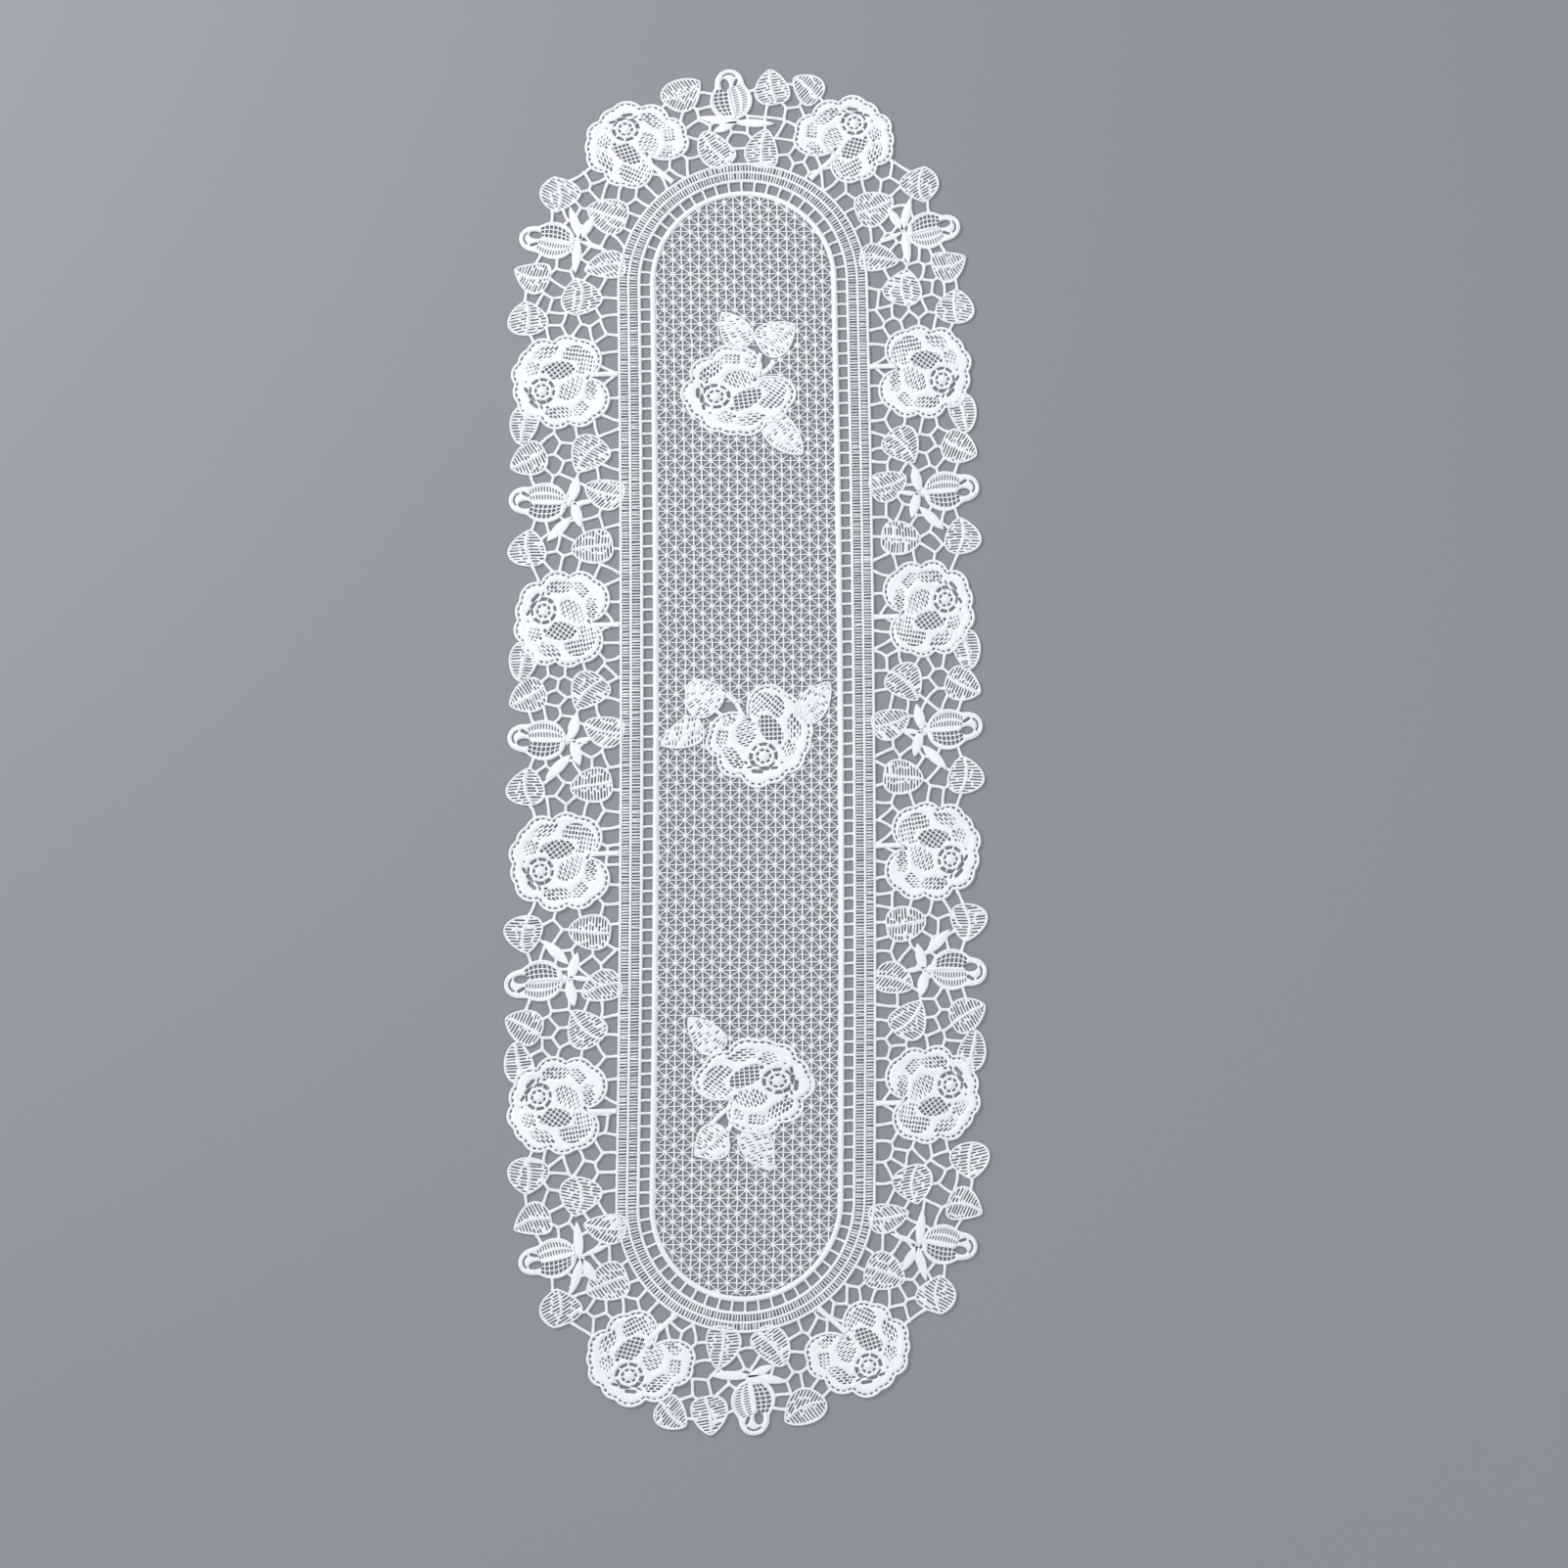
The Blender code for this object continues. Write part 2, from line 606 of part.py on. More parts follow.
def open_runs(lines, edge, band, solids):
    """The runs of straight lines that lie over open ground."""
    samples = []
    for start, end in lines:
        count = max(int(np.linalg.norm(end - start) / RUN_STEP), 2)
        s = np.linspace(0.0, 1.0, count + 1)
        samples.append(start + np.outer(s, end - start))
    free = open_ground(np.concatenate(samples), edge, band, solids)
    runs = []
    first = 0
    for points in samples:
        state = free[first : first + len(points)]
        first += len(points)
        change = np.flatnonzero(np.diff(np.concatenate([[0], state, [0]])))
        for a, b in zip(change[::2], change[1::2] - 1):
            if b > a:
                runs.append((points[a], points[b]))
    return runs


def bar_runs(shapes, solids):
    """The straight bars between the motifs and along the open edge."""
    edge = border_edge(shapes)
    band = band_ring(BAND_OUT)
    seeds = spread_seeds(edge, band, solids)
    runs = open_runs(cell_walls(seeds), edge, band, solids)
    rim = [(edge[k - 1], edge[k]) for k in range(len(edge))]
    return runs + open_runs(rim, edge * EDGE_SPARE, band, solids)


def arrange(solid_rings, gap_rings):
    """Lays all outlines over one another and sorts the triangles into cloth and gaps."""
    points = []
    edges = []
    for ring in solid_rings + gap_rings:
        first = len(points)
        edges += [(first + k, first + (k + 1) % len(ring)) for k in range(len(ring))]
        points += [Vector(point) for point in ring]
    result = delaunay_2d_cdt(points, edges, [], 0, MERGE)
    place = np.array([tuple(point) for point in result[0]])
    triangles = np.array(result[2])
    middles = place[triangles].mean(1)
    cloth = np.zeros(len(triangles), bool)
    for ring in solid_rings:
        cloth |= inside(middles, ring)
    for ring in gap_rings:
        cloth &= ~inside(middles, ring)
    return place, triangles, cloth


def neighbours(triangles):
    beside = {}
    for k, face in enumerate(triangles):
        for j in range(3):
            pair = (min(face[j], face[j - 1]), max(face[j], face[j - 1]))
            beside.setdefault(pair, []).append(k)
    return beside


def groups(count, pairs):
    parent = list(range(count))

    def root(k):
        while parent[k] != k:
            parent[k] = parent[parent[k]]
            k = parent[k]
        return k

    for a, b in pairs:
        parent[root(a)] = root(b)
    return np.array([root(k) for k in range(count)])


def fill_small_gaps(place, triangles, cloth):
    """Keeps the largest gaps, up to the most allowed, and fills the others."""
    beside = neighbours(triangles)
    shared = [both for both in beside.values() if len(both) == 2]
    pairs = [both for both in shared if not cloth[both].any()]
    group = groups(len(triangles), pairs)
    rim = {group[both[0]] for both in beside.values() if len(both) == 1}
    a, b, c = (place[triangles[:, k]] for k in range(3))
    area = 0.5 * abs((b - a)[:, 0] * (c - a)[:, 1] - (b - a)[:, 1] * (c - a)[:, 0])
    sizes = {}
    for k in np.flatnonzero(~cloth):
        sizes[group[k]] = sizes.get(group[k], 0.0) + area[k]
    inner = [(size, key) for key, size in sizes.items() if key not in rim]
    inner.sort(reverse=True)
    kept = {key for size, key in inner[:MOST_GAPS]}
    filled = cloth.copy()
    for k in np.flatnonzero(~cloth):
        filled[k] = group[k] not in kept and group[k] not in rim
    return filled


def rims(place, triangles, cloth):
    """The closed rings between cloth and gap, cloth on their left."""
    following = {}
    beside = neighbours(triangles)
    for k in np.flatnonzero(cloth):
        face = triangles[k]
        for j in range(3):
            a, b = face[j], face[(j + 1) % 3]
            both = beside[(min(a, b), max(a, b))]
            other = [n for n in both if n != k]
            if not other or not cloth[other[0]]:
                following.setdefault(a, []).append(b)
    rings = []
    while following:
        start = next(iter(following))
        ring = [start]
        here = start
        while True:
            ends = following[here]
            if len(ends) > 1:
                back = place[here] - place[ring[-2]] if len(ring) > 1 else place[here]
                ends.sort(key=lambda n: -turn_between(back, place[n] - place[here]))
            step = ends.pop(0)
            if not ends:
                del following[here]
            if step == start:
                break
            ring.append(step)
            here = step
        rings.append(place[ring])
    return rings


def turn_between(a, b):
    return math.atan2(a[0] * b[1] - a[1] * b[0], a[0] * b[0] + a[1] * b[1])


def off_line(points, start, end):
    way = end - start
    length = max(np.linalg.norm(way), LEAST_LINE)
    s = np.clip((points - start) @ way / length**2, 0.0, 1.0)
    return np.linalg.norm(points - start - np.outer(s, way), axis=1)


def thinned(ring, slack):
    """Drops the points of a ring that stand within the slack of the line without them."""
    far = int(np.argmax(((ring - ring[0]) ** 2).sum(1)))
    keep = {0, far}
    spans = [(0, far), (far, len(ring))]
    closed = np.concatenate([ring, ring[:1]])
    while spans:
        a, b = spans.pop()
        if b - a < 2:
            continue
        off = off_line(closed[a + 1 : b], closed[a], closed[b])
        worst = int(off.argmax())
        if off[worst] > slack:
            keep.add(a + 1 + worst)
            spans += [(a, a + 1 + worst), (a + 1 + worst, b)]
    return ring[sorted(keep)]


def crosses_itself(ring):
    """True where two sides of a ring that aren't neighbours cross or nearly touch."""
    count = len(ring)
    for k in range(count):
        away = [j for j in range(count) if j not in (k, (k + 1) % count)]
        near = off_line(ring[away], ring[k], ring[(k + 1) % count])
        if near.min() < 0.5 * LEAST_WALL:
            return True
        others = [j for j in away if (j + 1) % count != k]
        a, b = ring[k], ring[(k + 1) % count]
        c, d = ring[others], ring[[(j + 1) % count for j in others]]
        parted = side_of(a, b, c) * side_of(a, b, d) < 0.0
        if (parted & (side_of(c, d, a) * side_of(c, d, b) < 0.0)).any():
            return True
    return False


def side_of(start, end, point):
    way, off = end - start, point - start
    return way[..., 0] * off[..., 1] - way[..., 1] * off[..., 0]


def simple_rings(rings):
    """Each ring with the fewest points that don't make it cross itself, if it has any."""
    simple = []
    for ring in rings:
        for slack in (TRIM, TRIM / 2, TRIM / 4):
            found = thinned(ring, slack)
            if not crosses_itself(found):
                simple.append(found)
                break
    return simple


def apart(rings):
    """Leaves out a gap whose rim would come too near another rim, the largest kept first."""
    held = []
    for ring in sorted(rings, key=lambda ring: -abs(ring_area(ring))):
        low, high = ring.min(0) - LEAST_WALL, ring.max(0) + LEAST_WALL
        clear = True
        for other in held:
            if (other.min(0) > high).any() or (other.max(0) < low).any():
                continue
            near = [off_line(ring, other[k - 1], other[k]).min() for k in range(len(other))]
            near += [off_line(other, ring[k - 1], ring[k]).min() for k in range(len(ring))]
            clear &= min(near) > LEAST_WALL
        if clear:
            held.append(ring)
    return held


def ring_area(ring):
    x, y = ring[:, 0], ring[:, 1]
    return 0.5 * np.sum(x * np.roll(y, -1) - y * np.roll(x, -1))


def raised_points(shapes, strips):
    """Points of the upper face that stand above the ground, each with its height."""
    found = []

    def add(points, height):
        found.extend((point[0], point[1], height) for point in points)

    for rail in RAILS:
        add(band_ring(rail.radius, RAIL_SIDE_STEPS, RAIL_END_STEPS), rail.height)
    for shape in shapes:
        if shape.kind == "leaf":
            long, wide, height = LEAF_FACE
            add(placed(shape, leaf_outline(6, *shape.size) * (long, wide)), height)
            low, high, height = LEAF_RIB
            add(placed(shape, np.array([(low, 0.0), (high, 0.0)]) * shape.size[0]), height)
        elif shape.kind == "bud":
            share, height = BUD_FACE
            body = BUD_BODY
            add(placed(shape, ellipse(6, share * body.long, share * body.wide, body.x, body.y)), height)
            low, high, height = BUD_RIB
            add(placed(shape, np.array([(low, 0.0), (high, 0.0)])), height)
            out, height = BUD_TIP
            add(placed(shape, np.array([(LOOP.x + out, LOOP.y)])), height)
        else:
            eye, well = ROSE_EYE, ROSE_WELL
            rim = ellipse(6, eye.long, eye.wide, eye.x, eye.y)
            low = ellipse(4, well.long, well.wide, well.x, well.y, well.turn)
            add(placed(shape, rose_outline(16, ROSE_RIM[0], *shape.size)), ROSE_RIM[1])
            add(placed(shape, rose_outline(10, ROSE_FACE[0], *shape.size)), ROSE_FACE[1])
            add(placed(shape, rim), EYE_RIM)
            add(placed(shape, np.array([(eye.x, eye.y)])), EYE_MIDDLE)
            add(placed(shape, low), WELL_FLOOR)
    for strip in strips:
        if strip.lens:
            add([0.5 * (strip.start + strip.end)], STRIP_RIB)
    return np.array(found)


def keep_clear(points, rings):
    """Leaves out a raised point that stands too near a rim, or too near another."""
    free = np.ones(len(points), bool)
    for ring in rings:
        low, high = ring.min(0) - CLEAR, ring.max(0) + CLEAR
        near = ((points[:, :2] > low) & (points[:, :2] < high)).all(1) & free
        index = np.flatnonzero(near)
        if not len(index):
            continue
        for k in range(len(ring)):
            off = off_line(points[index, :2], ring[k - 1], ring[k])
            free[index[off < CLEAR]] = False
    held = []
    for k in np.flatnonzero(free):
        point = points[k, :2]
        if held and (abs(points[held, :2] - point).max(1) < LEAST_APART).any():
            continue
        held.append(k)
    return points[held]


def cloth_mask(points, rings):
    count = np.zeros(len(points), int)
    for ring in rings:
        count += inside(points, ring)
    return count % 2 == 1


def triangulated(rings, extra):
    """Triangles over the cloth, with the rims as fixed lines."""
    points = []
    edges = []
    for ring in rings:
        first = len(points)
        points += [Vector(point) for point in ring]
        edges += [(first + k, first + (k + 1) % len(ring)) for k in range(len(ring))]
    on_rim = len(points)
    points += [Vector((point[0], point[1])) for point in extra]
    result = delaunay_2d_cdt(points, edges, [], 0, LEAST_LINE)
    place = np.array([tuple(point) for point in result[0]])
    faces = np.array(result[2])
    faces = faces[cloth_mask(place[faces].mean(1), rings)]
    given = np.array([owners[0] for owners in result[3]])
    return given[faces], on_rim


def laid(points):
    """The runner as it lies: bowed sideways, its border askew and drawn in on the right."""
    drawn = RIGHT_DRAWN * np.maximum(points[:, 0] - DRAWN_FROM, 0.0)
    x = points[:, 0] - drawn - BOW * (points[:, 1] / HALF_LONG) ** 2 - LEAN * points[:, 1]
    y = points[:, 1] + SKEW * points[:, 0]
    return np.stack([x, y], 1)


def facing(place, faces, up):
    a, b, c = (place[faces[:, k]] for k in range(3))
    area = (b - a)[:, 0] * (c - a)[:, 1] - (b - a)[:, 1] * (c - a)[:, 0]
    wrong = (area < 0.0) if up else (area > 0.0)
    faces = faces.copy()
    faces[wrong] = faces[wrong][:, ::-1]
    return faces


def lace_mesh(rings, raised):
    top, on_rim = triangulated(rings, raised[:, :2])
    low, _ = triangulated(rings, np.zeros((0, 2)))
    flat = np.concatenate([np.concatenate(rings), raised[:, :2]])
    heights = np.full(len(flat), GROUND)
    heights[on_rim:] = raised[:, 2]
    top = facing(flat, top, True)
    low = facing(flat, low, False)
    place = laid(flat)
    middle = 0.5 * (place[:on_rim].min(0) + place[:on_rim].max(0))
    place = (place - middle) * MM
    upper = np.concatenate([place, heights[:, None] * MM], 1)
    under = np.concatenate([place[:on_rim], np.zeros((on_rim, 1))], 1)
    shift = len(upper)
    faces = [tuple(face) for face in top]
    faces += [tuple(int(k) + shift for k in face) for face in low]
    start = 0
    for ring in rings:
        for k in range(len(ring)):
            a = start + k
            b = start + (k + 1) % len(ring)
            faces.append((a + shift, b + shift, b))
            faces.append((a + shift, b, a))
        start += len(ring)
    return np.concatenate([upper, under]), faces


def thread_material():
    material = bpy.data.materials.new("white_embroidery_thread")
    material.use_nodes = True
    shader = material.node_tree.nodes["Principled BSDF"]
    shader.inputs["Base Color"].default_value = MATERIAL_COLOUR
    shader.inputs["Roughness"].default_value = 0.7
    return material


def build():
    clear_scene()
    shapes, strips = layout()
    solids = [outline(shape, True) for shape in shapes]
    solids += [strip_ring(strip) for strip in strips]
    band = band_ring(BAND_OUT)
    gaps = ladder_gaps()
    eye = ellipse(8, LOOP_EYE.long, LOOP_EYE.wide, LOOP_EYE.x, LOOP_EYE.y, LOOP_EYE.turn)
    gaps += [placed(shape, eye) for shape in shapes if shape.kind == "bud"]
    gaps += [ellipse(6, gap.long, gap.wide, gap.x, gap.y, gap.turn) for gap in FIELD_GAPS]
    runs = bar_runs(shapes, solids)
    bars = [quad(start, end, BAR_WIDE, BAR_SPILL) for start, end in runs]
    rings = [band] + solids + bars
    place, triangles, cloth = arrange(rings, gaps)
    cloth = fill_small_gaps(place, triangles, cloth)
    found = rims(place, triangles, cloth)
    found = apart(simple_rings(found))
    raised = raised_points(shapes, strips)
    raised = keep_clear(raised, found)
    raised = raised[cloth_mask(raised[:, :2], found)]
    points, faces = lace_mesh(found, raised)
    mesh = bpy.data.meshes.new("lace_runner")
    mesh.from_pydata([tuple(point) for point in points], [], faces)
    mesh.update()
    runner = bpy.data.objects.new("lace_runner", mesh)
    bpy.context.scene.collection.objects.link(runner)
    mesh.materials.append(thread_material())


build()
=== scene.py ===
import json
import math
from collections import namedtuple

import bpy
import numpy as np
from mathutils import Matrix, Vector
from mathutils.geometry import delaunay_2d_cdt

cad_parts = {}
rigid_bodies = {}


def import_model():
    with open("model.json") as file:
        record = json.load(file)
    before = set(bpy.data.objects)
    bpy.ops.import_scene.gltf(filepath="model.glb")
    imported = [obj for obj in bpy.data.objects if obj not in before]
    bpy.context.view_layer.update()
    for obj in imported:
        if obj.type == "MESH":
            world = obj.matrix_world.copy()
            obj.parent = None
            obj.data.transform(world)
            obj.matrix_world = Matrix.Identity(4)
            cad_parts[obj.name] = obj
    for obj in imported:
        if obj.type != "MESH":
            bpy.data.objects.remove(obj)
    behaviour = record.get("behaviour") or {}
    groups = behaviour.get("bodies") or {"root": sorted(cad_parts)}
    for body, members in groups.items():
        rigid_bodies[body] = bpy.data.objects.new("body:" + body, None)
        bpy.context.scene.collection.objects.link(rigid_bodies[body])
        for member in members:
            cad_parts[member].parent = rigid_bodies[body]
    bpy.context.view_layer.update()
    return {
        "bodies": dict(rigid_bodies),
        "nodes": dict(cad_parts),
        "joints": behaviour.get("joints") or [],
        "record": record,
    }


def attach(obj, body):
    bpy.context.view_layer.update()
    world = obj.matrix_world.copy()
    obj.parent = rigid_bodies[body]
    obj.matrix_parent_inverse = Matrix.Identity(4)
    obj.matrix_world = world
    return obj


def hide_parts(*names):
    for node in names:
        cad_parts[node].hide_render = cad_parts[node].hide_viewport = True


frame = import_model()

# Sizes in millimetres. u runs across the runner, v along it, both from its middle
MM = 0.001
HALF_LONG = 457.0
BAR_WIDE = 1.7
SKEW = 0.026
BOW = 5.0
LEAN = 0.002
RIGHT_DRAWN = 0.05
DRAWN_FROM = 60.0

# The border band: half widths of its rails and rows, and the round ends
BAND_OUT = 85.7
LADDER_OUT = 69.8
LADDER_IN = 63.2
ARC_CENTRE = 308.0
END_SQUEEZE = 0.84
LADDER_PITCH = 8.5
LADDER_BAR = 1.6
END_STEPS = 24
SIDE_STEPS = 8

# Bars of the open ground between the motifs
CELL_GAP = 10.9
SPREAD_STEP = 1.5
SPREAD_ROUNDS = 6
SEED = 11
UNEVEN = (0.8, 1.0)
EDGE_OUT = 3.0
EDGE_SPARE = 1.02
RUN_STEP = 0.25
FAR = 600.0
FAR_POINTS = 24
CHUNK = 4000
ROUND_STEPS = 240

# How closely the outlines are merged, and the least length that counts as a line
MERGE = 1e-4
LEAST_LINE = 1e-6

Petal = namedtuple("Petal", "x y reach")
PETALS = (
    Petal(13.5, 16.8, 14.2),
    Petal(4.1, 22.3, 11),
    Petal(-11.6, 19.4, 10.8),
    Petal(-17.5, 13.4, 10),
    Petal(-22.2, 4.9, 9.4),
    Petal(-19.2, -7.2, 10.4),
    Petal(-14.8, -15, 11.2),
    Petal(0, -20.9, 11.4),
    Petal(15.5, -18.5, 11.6),
    Petal(20.2, -10.5, 14.4),
)
NOTCH_WIDE = 0.62
Well = namedtuple("Well", "x y long wide turn")
FAR_SEEDS = Well(0.0, 0.0, 900.0, 1100.0, 0.0)

# A row for each motif: its middle, length, width and the way its tip points. A leaf's last two
# numbers are the way its threads run on the two sides of its midrib, in degrees
Leaf = namedtuple("Leaf", "name u v long wide turn blunt taper bend edge left right")
Rose = namedtuple("Rose", "name u v wide high turn flip deep notch edge")
Bud = namedtuple("Bud", "name u v turn long wide flip edge")
Sepal = namedtuple("Sepal", "u0 v0 u1 v1 wide")

SECTION_LEAVES = (
    Leaf("outer_low", -150, -29, 28, 20.5, -104, 0.34, 0.58, -1, True, 0, -6),
    Leaf("outer_point", -147, -53, 27, 24, -152, 0.40, 0.72, 1, True, -58, -66),
    Leaf("inner_low", -106.5, -51, 28.5, 26.5, -135, 0.42, 0.78, -3.5, False, -32, -28),
    Leaf("band_leaf", -96, -77.5, 28, 22, 164, 0.34, 0.60, 2, False, 48, 42),
    Leaf("outer_high", -147, -114.5, 26, 26.5, 98, 0.52, 0.74, 4, True, -3, 4),
    Leaf("inner_high", -104, -114, 29, 24.5, 187, 0.34, 0.56, 0, False, 86, 94),
)
SECTION_BUD = Bud("side_bud", -120.5, -83.5, 178.0, 0.98, 0.98, 1, True)
SECTION_SEPALS = (
    Sepal(-118.5, -82.5, -114.6, -66.5, 5.4),
    Sepal(-117, -84.5, -103.5, -82.5, 2.6),
    Sepal(-117.5, -83, -112.8, -99.5, 5.2),
    Sepal(-119.2, -94, -134.2, -108.2, 5.2),
)

# How far each copy of a group lies aside of the drawn one, outer motifs more than inner
Shift = namedtuple("Shift", "view outer inner along")

# The leaves and bud between two roses come six times
SECTION_SHIFTS = (
    Shift((1, 1), 1, 1, 243),
    Shift((1, 1), 0.5, 0.5, 82.5),
    Shift((1, -1), 0, 0, -242.5),
    Shift((-1, 1), 0.6, 0.6, 243),
    Shift((-1, 1), 0.2, 0.2, 82),
    Shift((-1, -1), 1.5, 1.5, -243),
)

Stem = namedtuple("Stem", "u0 v0 u1 v1 wide")
SIDE_ROSES = (
    Rose("rose_1", -126, 242, 1.03, 1.00, -4, 1, 0, 0, True),
    Rose("rose_2", -125.5, 81, 1.00, 1.02, 5, -1, 0, 0, True),
    Rose("rose_3", -126.5, -82, 1.04, 1.02, -4, 1, 0, 0, True),
    Rose("rose_4", -126, -241, 1.02, 0.99, 4, -1, 0, 0, True),
)
STEM_WIDE = 2.9
STEM_OUT = -103.5
STEM_IN = -85.5
STEM_RISE = 5.0

CORNER_LEAVES = (
    Leaf("corner_1", -147, 285, 25, 28.5, 87, 0.52, 0.80, -2, True, 6, 12),
    Leaf("corner_2", -142.5, 315, 26, 23, 167, 0.38, 0.78, 3.5, True, 66, 60),
    Leaf("corner_3", -111.5, 299, 27, 29, 88, 0.64, 0.88, -4, False, 10, 14),
    Leaf("corner_4", -93, 320.5, 29, 20.5, 187, 0.34, 0.74, -1.5, False, -52, -44),
    Leaf("corner_5", -125, 372, 26, 29, -88, 0.82, 0.92, 3.5, True, -28, -34),
    Leaf("corner_6", -91, 356, 29.5, 26, 160, 0.34, 0.68, 1, False, 52, 46),
)
CORNER_BUD = Bud("corner_bud", -113.0, 336.0, 168.0, 0.95, 0.93, -1, True)
CORNER_SEPALS = (
    Sepal(-110, 339.5, -116.5, 361, 4.6),
    Sepal(-110, 340.5, -101, 354.5, 4.6),
    Sepal(-111.5, 339.5, -114, 317.5, 4.6),
    Sepal(-110, 338, -93, 331.5, 2.6),
)
CORNER_ROSE = Rose("corner_rose", -72.5, 405.3, 1.06, 0.95, -33.0, -1, 8.0, 0.26, True)
CORNER_STEM = Stem(-65.0, 393.5, -46.5, 377.5, 3.0)

END_LEAVES = (
    Leaf("end_1", -40, 440, 30, 24.5, 24, 0.58, 0.76, -3.5, True, 62, -52),
    Leaf("end_2", -17, 399.5, 30, 22.5, 132, 0.34, 0.52, 2.5, False, 30, 34),
    Leaf("end_3", 22.5, 442, 26, 25, 100, 0.38, 0.72, 1.5, True, 8, 14),
    Leaf("end_4", 46.5, 441, 24, 22, 134, 0.34, 0.72, -1.5, True, 52, 46),
    Leaf("end_5", 15, 399, 28.5, 24, 84, 0.34, 0.70, 2, False, 0, 4),
)
END_BUD = Bud("end_bud", -3.1, 419.6, 101.0, 0.89, 1.04, 1, True)
END_SEPALS = (
    Sepal(-3.5, 418.5, -26.5, 422.5, 4.2),
    Sepal(-3.5, 418.5, 21.5, 417, 4.2),
    Sepal(-3.5, 418.5, -17.6, 412.5, 4.2),
)

CORNER_SHIFTS = (
    Shift((1, 1), 0, 0, 1.4),
    Shift((-1, 1), 0.8, 0.2, 1.2),
    Shift((1, -1), 3.6, 1.6, -0.8),
    Shift((-1, -1), 3.8, 1, 0.8),
)
END_SHIFTS = (
    Shift((1, 1), 0, 0, 1.2),
    Shift((-1, -1), 0.3, 0.3, -0.3),
)

FIELD_ROSES = (
    Rose("field_rose_1", -6.5, 232.5, 1.17, 0.95, 47, -1, 7.5, -0.12, False),
    Rose("field_rose_2", 8, -3, 1.07, 1.04, 131, -1, 7.5, -0.12, False),
    Rose("field_rose_3", 6, -232, 1.20, 0.95, -136, -1, 7.5, -0.12, False),
)
FIELD_LEAVES = (
    Leaf("field_1", 21.4, 269.4, 29.5, 26, 30, 0.34, 0.76, -1.5, False, -52, -12),
    Leaf("field_2", -6.4, 274.4, 30.5, 21.5, 124, 0.46, 0.80, 0, False, 16, 10),
    Leaf("field_3", 25.5, 202, 36, 22.5, -50, 0.40, 0.72, -1, False, 44, 38),
    Leaf("field_4", -30, 25, 27.5, 27, 131, 0.42, 0.70, 0.5, False, 42, 36),
    Leaf("field_5", -43.6, 0.7, 31.5, 21, 204, 0.34, 0.80, 0, False, 80, 86),
    Leaf("field_6", 44.2, 19.6, 33, 21, 53, 0.46, 0.80, 0, False, -42, 58),
    Leaf("field_7", -23.5, -268, 27, 25.5, -137, 0.68, 1.02, 2.5, False, -34, -38),
    Leaf("field_8", 7.4, -272.6, 33.5, 22, -59, 0.48, 0.84, 0, False, 18, 12),
    Leaf("field_9", -27.6, -198.4, 32, 21, 137, 0.40, 0.78, 1.5, False, 46, 40),
)
FIELD_STEMS = (
    Stem(10.7, 244.2, 15.3, 247, 3),
    Stem(15.3, 247, 20, 252.6, 3),
    Stem(9.7, 244.2, 9.4, 252.6, 2.4),
    Stem(9.4, 252.6, 10.7, 258.2, 2.4),
    Stem(-3, 11, -8, 21, 2.6),
    Stem(-8, 21, -15, 27, 2.6),
    Stem(-15, 27, -21, 28, 2.6),
    Stem(-22.3, 16.5, -17, 12.6, 2.2),
    Stem(-10.3, -244.5, -20, -252.4, 2.6),
    Stem(-20, -252.4, -23.6, -256.8, 2.6),
    Stem(-9.4, -246, -9.8, -256, 2.4),
    Stem(-9.8, -256, -12.6, -261, 2.4),
)

Group = namedtuple("Group", "shifts motifs sepals stems")
GROUPS = (
    Group(SECTION_SHIFTS, SECTION_LEAVES + (SECTION_BUD,), SECTION_SEPALS, ()),
    Group(CORNER_SHIFTS, CORNER_LEAVES + (CORNER_BUD, CORNER_ROSE), CORNER_SEPALS, (CORNER_STEM,)),
    Group(END_SHIFTS, END_LEAVES + (END_BUD,), END_SEPALS, ()),
    Group((Shift((1, 1), 0, 0, 0),), FIELD_ROSES + FIELD_LEAVES, (), FIELD_STEMS),
)

# The openings in the net beside the field's roses
FIELD_GAPS = (
    Well(13.3, 253, 5.6, 3.1, 82),
    Well(7.4, 260.4, 2.8, 1.8, -45),
    Well(-14, 17, 6, 3.8, -20),
    Well(-22, 11, 3.4, 2.1, 28),
    Well(-14.8, -253.8, 5.2, 3.2, 70),
    Well(-7.4, -260.4, 3.4, 1.8, -35),
)

LEAF_MIDDLE = 0.47
BUD_BODY = Well(16.0, 0.0, 14.9, 13.8, 0.0)
LOOP = Well(30.8, -1.5, 10.4, 9.2, 0.0)
BUD_HUB = (25.5, -0.8)
BUD_BLEND = 5.0
LOOP_EYE = Well(29.6, 1.6, 4.9, 2.8, 0.0)

Shape = namedtuple("Shape", "row frame origin size")
Strip = namedtuple("Strip", "start end wide sepal")

# How many points draw each outline, roughly as in the solid's gaps or finely
ROUGH_POINTS = {Leaf: 12, Rose: 36, Bud: 22}
FINE_POINTS = {Leaf: 40, Rose: 120}
GAP_POINTS = 24
SEPAL_POINTS = 6
SEPAL_FORM = (0.34, 0.66, 0.8)

# Thread sections, as shares of a cord's width to its left and of its height
THREAD = np.array([(0.5, 0.2), (0.27, 1.0), (-0.27, 1.0), (-0.5, 0.2)])
CORD = np.array([(0.5, 0.3), (0.33, 0.9), (-0.33, 0.9), (-0.5, 0.3), (-0.36, 0.0), (0.36, 0.0)])
FLAT = np.array([
    (0.5, 0.35), (0.45, 0.8), (0.36, 0.97), (-0.36, 0.97),
    (-0.45, 0.8), (-0.5, 0.35), (-0.36, 0.0), (0.36, 0.0),
])
GIRTH = 2.2
KNOT_SHOULDER = (0.6, 0.82)

